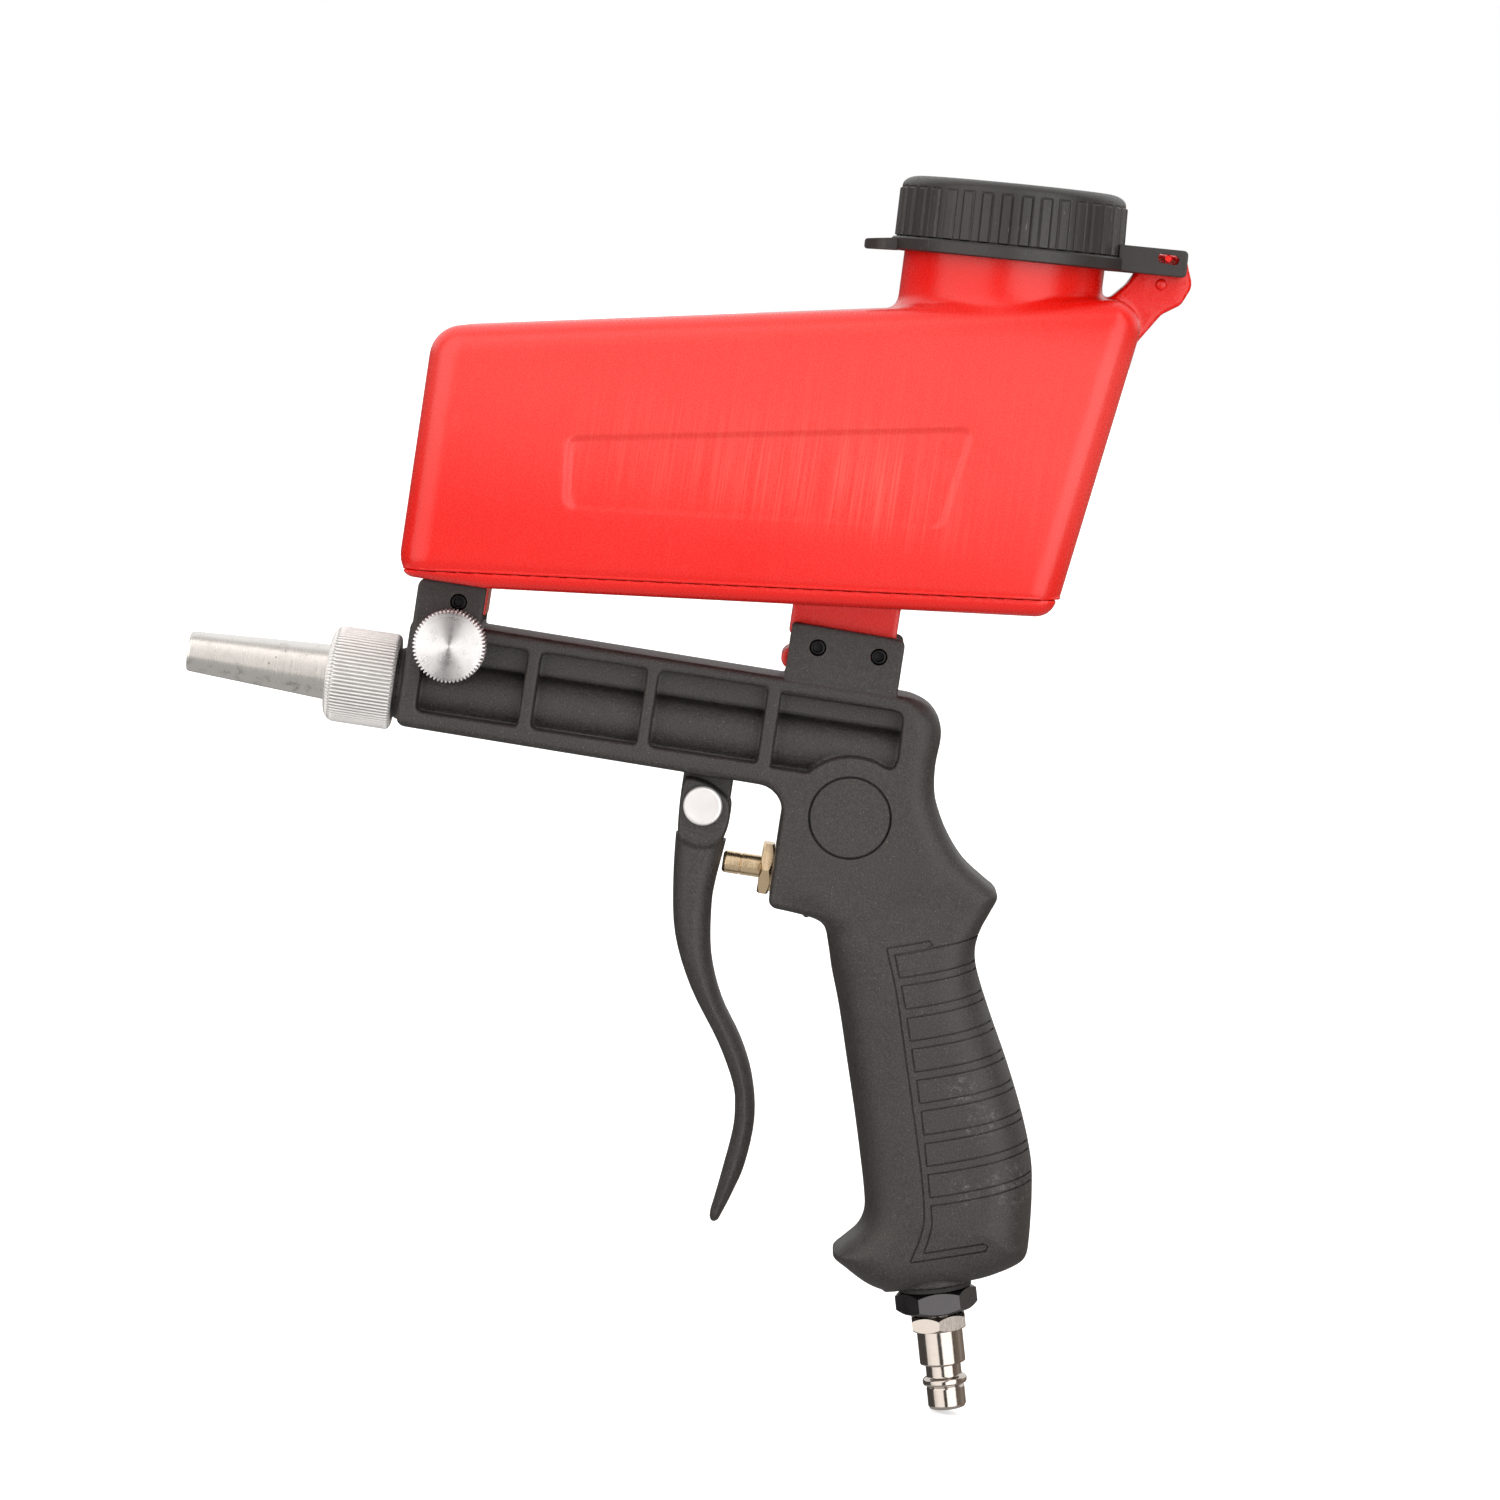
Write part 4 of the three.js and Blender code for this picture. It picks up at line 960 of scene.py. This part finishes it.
def hopper_plastic():
    n = Nodes("hopper_plastic")
    streak = n.noise(1.0, 5, n.stretched((1500, 60, 22)), 0.7)
    fine = n.noise(1.0, 3, n.stretched((4200, 90, 30)), 0.6)
    x, _, z = n.split(n.place)
    right = n.spread(x, -0.14, -0.05, 0.25, 1)
    low, high, soft = row_place(-56, 60), row_place(42, 80), 0.012
    inside = n.times(n.window(x, low.x, high.x, soft), n.window(z, low.z, high.z, soft))
    strength = n.times(right, n.plus(n.times(inside, 0.85), 0.15))
    strength = n.times(strength, n.window(z, row_height(56), row_height(104), 0.007))
    lines = n.times(n.spread(n.plus(n.times(streak, 0.6), n.times(fine, 0.4)), 0.45, 0.62), strength)
    # Painted sheen: the red turns paler and pinker towards the top, standing in for the soft light that its
    # upper sides reflect; the gradient fades out on the neck.
    high = n.plus(n.spread(z, row_height(42), row_height(86), 0, 0.75), n.times(n.noise(16, 2), 0.3))
    high = n.times(high, n.spread(z, row_height(126), row_height(108)))
    base = n.mix(high, (0.83, 0.006, 0.002), (0.88, 0.056, 0.048))
    colour = n.mix(n.times(lines, 0.65), base, (0.93, 0.14, 0.105))
    grain = n.noise(2100, 2, rough=0.55)
    rough = n.plus(n.spread(grain, 0.3, 0.7, 0.23, 0.31), n.times(lines, 0.12))
    bumpy = n.bump(grain, 0.00006, 0.5)
    return n.finish(Base_Color=colour, Roughness=rough, Normal=n.bump(streak, 0.00012, 0.25, bumpy),
                    Subsurface_Weight=0.06, Subsurface_Scale=0.002)


def lid_plastic():
    n = Nodes("lid_plastic")
    grain = n.noise(1700, 2, rough=0.55)
    scratch = n.spread(n.noise(1.0, 2, n.stretched((1400, 1400, 160)), 0.8), 0.68, 0.74)
    patchy = n.spread(n.noise(60, 2), 0.5, 0.62)
    worn = n.times(n.times(scratch, patchy), 0.55)
    base = n.mix(n.noise(70, 3), (0.020, 0.0188, 0.0180), (0.036, 0.0333, 0.0318))
    colour = n.mix(worn, base, (0.2, 0.19, 0.18))
    return n.finish(Base_Color=colour, Roughness=n.spread(grain, 0.3, 0.7, 0.36, 0.5),
                    Normal=n.bump(grain, 0.0001, 0.4))


TOOL_MARK = 0.00003  # depth of a tool mark, in metres


def metal(name, light, dark, rough, marks, turned_axis=None, point=None, depth=0.3, painted_valley_shade=None, metallic=1.0):
    """Bare metal with fine tool marks: rings round an axis, or lines across it.

    "face" is a face turned round a point, with a gloss that follows its rings.
    The last argument holds a knurl's root and crest radius: between them its valleys get painted shade."""
    n = Nodes(name)
    gloss = {}
    if turned_axis == "face":
        radial = n.add("Tangent", direction_type="RADIAL", axis="Y")
        gloss = {"Tangent": radial.outputs["Tangent"], "Anisotropic": 0.9, "Anisotropic_Rotation": 0.25}
        rings = n.add("TexNoise", noise_dimensions="1D", Detail=4.0, Roughness=0.7,
                      W=n.times(n.far_from(point, (1, 0, 1)), marks), Scale=1.0).outputs["Fac"]
    elif turned_axis:
        scale = [marks if axis == turned_axis else 30 for axis in "XYZ"]
        rings = n.noise(1.0, 4, n.stretched(scale), 0.7)
    else:
        rings = n.noise(marks, 3, rough=0.6)
    cloud = n.noise(180, 4, rough=0.7)
    marked = n.times(n.plus(rings, cloud), 0.5)
    colour = n.mix(marked, dark, light)
    if painted_valley_shade:
        root, crest = painted_valley_shade
        mask = (1, 0, 1) if turned_axis == "face" else (0, 1, 1)
        # Painted shade: the knurl's valleys are darkened to stand in for the shade that falls between its
        # teeth.
        valley_shade = n.times(n.window(n.far_from(point, mask), root * MM, crest * MM, 0.0001), 0.6)
        colour = n.mix(valley_shade, colour, tuple(0.28 * c for c in dark))
    return n.finish(Base_Color=colour, Roughness=n.spread(marked, 0.3, 0.7, rough * 0.75, rough * 1.25),
                    Metallic=metallic, Normal=n.bump(rings, TOOL_MARK, depth), **gloss)


def nozzle_steel():
    n = Nodes("nozzle_steel")
    rings = n.noise(1.0, 4, n.stretched((2600, 30, 30)), 0.7)
    # Mottled stains on the steel, faded in towards the bottom: the darker underside is painted shade, while the
    # mottling itself is real staining.
    stain = n.spread(n.noise(260, 6, rough=0.75), 0.5, 0.68)
    low = n.spread(n.split(n.place)[2], BARREL.z + 0.001, BARREL.z - 0.004)
    stain_and_low_shade = n.times(stain, n.spread(low, 0, 1, 0.25, 0.8, "LINEAR"))
    pit = n.times(n.spread(n.spots(420), 0.11, 0.05), n.spread(n.noise(120, 1), 0.55, 0.6))
    colour = n.mix(stain_and_low_shade, (0.80, 0.78, 0.75), (0.42, 0.41, 0.39))
    colour = n.mix(pit, colour, (0.12, 0.11, 0.10))
    rough = n.plus(n.spread(rings, 0.3, 0.7, 0.25, 0.35), n.times(stain_and_low_shade, 0.12))
    normal = n.bump(n.noise(90, 3), 0.0005, 0.12, n.bump(rings, TOOL_MARK, 0.35))
    return n.finish(Base_Color=colour, Roughness=rough, Metallic=1.0, Normal=normal)


def rubber():
    n = Nodes("rubber")
    grain = n.noise(1500, 3, rough=0.6)
    colour = n.mix(n.noise(120, 2), (0.012, 0.012, 0.012), (0.022, 0.021, 0.021))
    return n.finish(Base_Color=colour, Roughness=n.spread(grain, 0.3, 0.7, 0.6, 0.8),
                    Normal=n.bump(grain, 0.0001, 0.4))


# ---- camera, light and floor

CAMERA_AIM = BARREL + Vector((0, 0, -0.0035))
CAMERA_RISE, CAMERA_ROLL = radians(5), radians(8.7)
CAMERA_AWAY = 1.4
CAMERA_LENS = 129.2


def make_camera():
    back = Vector((0, -cos(CAMERA_RISE), sin(CAMERA_RISE)))
    lean = Vector((0, sin(CAMERA_RISE), cos(CAMERA_RISE)))
    right = X * cos(CAMERA_ROLL) + lean * sin(CAMERA_ROLL)
    upward = lean * cos(CAMERA_ROLL) - X * sin(CAMERA_ROLL)
    data = bpy.data.cameras.new("camera")
    data.lens, data.sensor_width = CAMERA_LENS, 36
    camera = bpy.data.objects.new("camera", data)
    turn = Matrix((right, upward, back)).transposed()
    camera.matrix_world = Matrix.Translation(CAMERA_AIM + back * CAMERA_AWAY) @ turn.to_4x4()
    bpy.context.scene.collection.objects.link(camera)
    bpy.context.scene.camera = camera


DEGREES = 57.3  # in a radian
# Each window's stretch round the object and above it, in degrees with a soft edge, and its glow.
WINDOWS = [((-80, -13, 2), (-27, 70, 3), (1.68, 1.61, 1.55)), ((6, 60, 3), (-27, 74, 3), (2.28, 2.24, 2.2))]


def make_studio():
    """White all round behind the object, and two tall soft windows with dim gaps on the camera's side."""
    world = bpy.data.worlds.new("studio")
    bpy.context.scene.world = world
    n = Nodes("studio", world)
    x, y, z = n.split(n.place)
    round_about = n.times(n.maths("ARCTAN2", x, n.times(y, -1)), DEGREES)
    height = n.times(n.maths("ARCSINE", z), DEGREES)
    behind = n.spread(n.maths("ABSOLUTE", round_about), 92, 112)
    above = n.spread(height, 0, 10)
    colour = n.mix(n.spread(round_about, 40, 95), (0.10, 0.092, 0.088), (0.27, 0.22, 0.18))
    colour = n.mix(n.times(behind, above), colour, (1.05, 1.05, 1.05))
    colour = n.mix(n.spread(height, 66, 80), colour, (0.62, 0.6, 0.58))
    for sides, ends, glow in WINDOWS:
        pane = n.times(n.window(round_about, *sides), n.window(height, *ends))
        colour = n.mix(pane, colour, glow)
    colour = n.mix(n.spread(height, -27, -34), colour, (0.46, 0.45, 0.44))
    seen = n.add("LightPath").outputs["Is Camera Ray"]
    n.finish(Color=n.mix(seen, colour, (1.0, 1.0, 1.0)), Strength=1.0)


def make_stage():
    """A wide white floor just under the object. Only the camera sees it; it throws no light back."""
    size, gap = 40.0, 0.0005
    floor_z = cad_box[0][2] - gap
    mesh = bpy.data.meshes.new("floor")
    corners = ((-size, -size), (size, -size), (size, size), (-size, size))
    mesh.from_pydata([(x, y, floor_z) for x, y in corners], [], [(0, 1, 2, 3)])
    n = Nodes("floor_paint")
    shade = n.mix(n.noise(3, 2), (0.86, 0.86, 0.86), (0.9, 0.9, 0.9))
    mesh.materials.append(n.finish(Base_Color=shade, Roughness=0.8, Emission_Color=(1, 1, 1, 1),
                                   Emission_Strength=0.55, Specular_IOR_Level=0.0))
    floor = as_object("floor", mesh)
    floor.visible_diffuse = floor.visible_glossy = False


make_camera()
make_studio()
make_stage()
bpy.context.scene.view_settings.view_transform = "Standard"

coat, red, lid_black = powder_coat(), hopper_plastic(), lid_plastic()
alloy = metal("aluminium", (0.90, 0.88, 0.88), (0.76, 0.745, 0.745), 0.42, 2200, metallic=0.5)
# The knurled collar's finish darkens its valleys as painted shade.
knurled = metal("knurled_aluminium", (0.97, 0.96, 0.95), (0.90, 0.885, 0.875), 0.42, 2200,
                point=row_place(0, 0), painted_valley_shade=(11.75, 12.15), metallic=0.5)
spun = metal("spun_aluminium", (0.93, 0.92, 0.92), (0.84, 0.83, 0.83), 0.31, 12000, "face", row_place(*FLOW))
nickel = metal("nickel", (0.62, 0.57, 0.53), (0.46, 0.41, 0.37), 0.13, 1500)
brass = metal("brass", (0.95, 0.76, 0.52), (0.80, 0.58, 0.34), 0.27, 1300, "X", depth=0.05)
black_steel = metal("black_steel", (0.13, 0.125, 0.13), (0.06, 0.057, 0.06), 0.32, 1600)
# Black oxide for the set screws, made darker than black_steel as painted shade, so that their sockets read
# dark.
shaded_socket_steel = metal("shaded_socket_steel", (0.035, 0.034, 0.036), (0.012, 0.012, 0.013), 0.42, 1600)
plain_steel = metal("plain_steel", (0.62, 0.61, 0.6), (0.42, 0.41, 0.4), 0.3, 1400)
ground_steel, nitrile = nozzle_steel(), rubber()

gun_body(coat)
hopper_shell(red)
hopper_base(red)
hopper_lid(lid_black)
lid_seal(nitrile)
trigger(coat)
nozzle(ground_steel)
nozzle_collar(knurled)
flow_knob(spun)
flow_spindle(plain_steel)
ring_clip("spindle_clip_ring", at_y(FLOW, 13.55), 6.2, 3.3, 2, "flow_valve", "spindle_clip", plain_steel)
ring_clip("pin_clip_ring", at_y(PIVOT, 8.7), 4.2, 2.05, 1.2, "gun", "trigger_pin_clip", plain_steel)
trigger_pin(alloy)
valve_stem(brass)
valve_spring(plain_steel)
valve_gland_nut(brass)
inlet_bushing(black_steel)
air_plug(nickel)
for screw, place in SCREWS.items():
    set_screw(screw, place, shaded_socket_steel)

# The hidden pieces keep their shapes and get the same finishes.
BRASS_NODES = ("air_jet", "valve_seat")
RUBBER_NODES = ("jet_o_ring", "nozzle_washer", "stem_o_ring", "valve_disc", "spindle_o_ring_near",
                "spindle_o_ring_far", "spout_gasket", "bushing_washer", "plug_washer")
for finish, nodes in ((brass, BRASS_NODES), (nitrile, RUBBER_NODES)):
    for node in nodes:
        bpy.data.objects[node].material_slots[0].material = finish
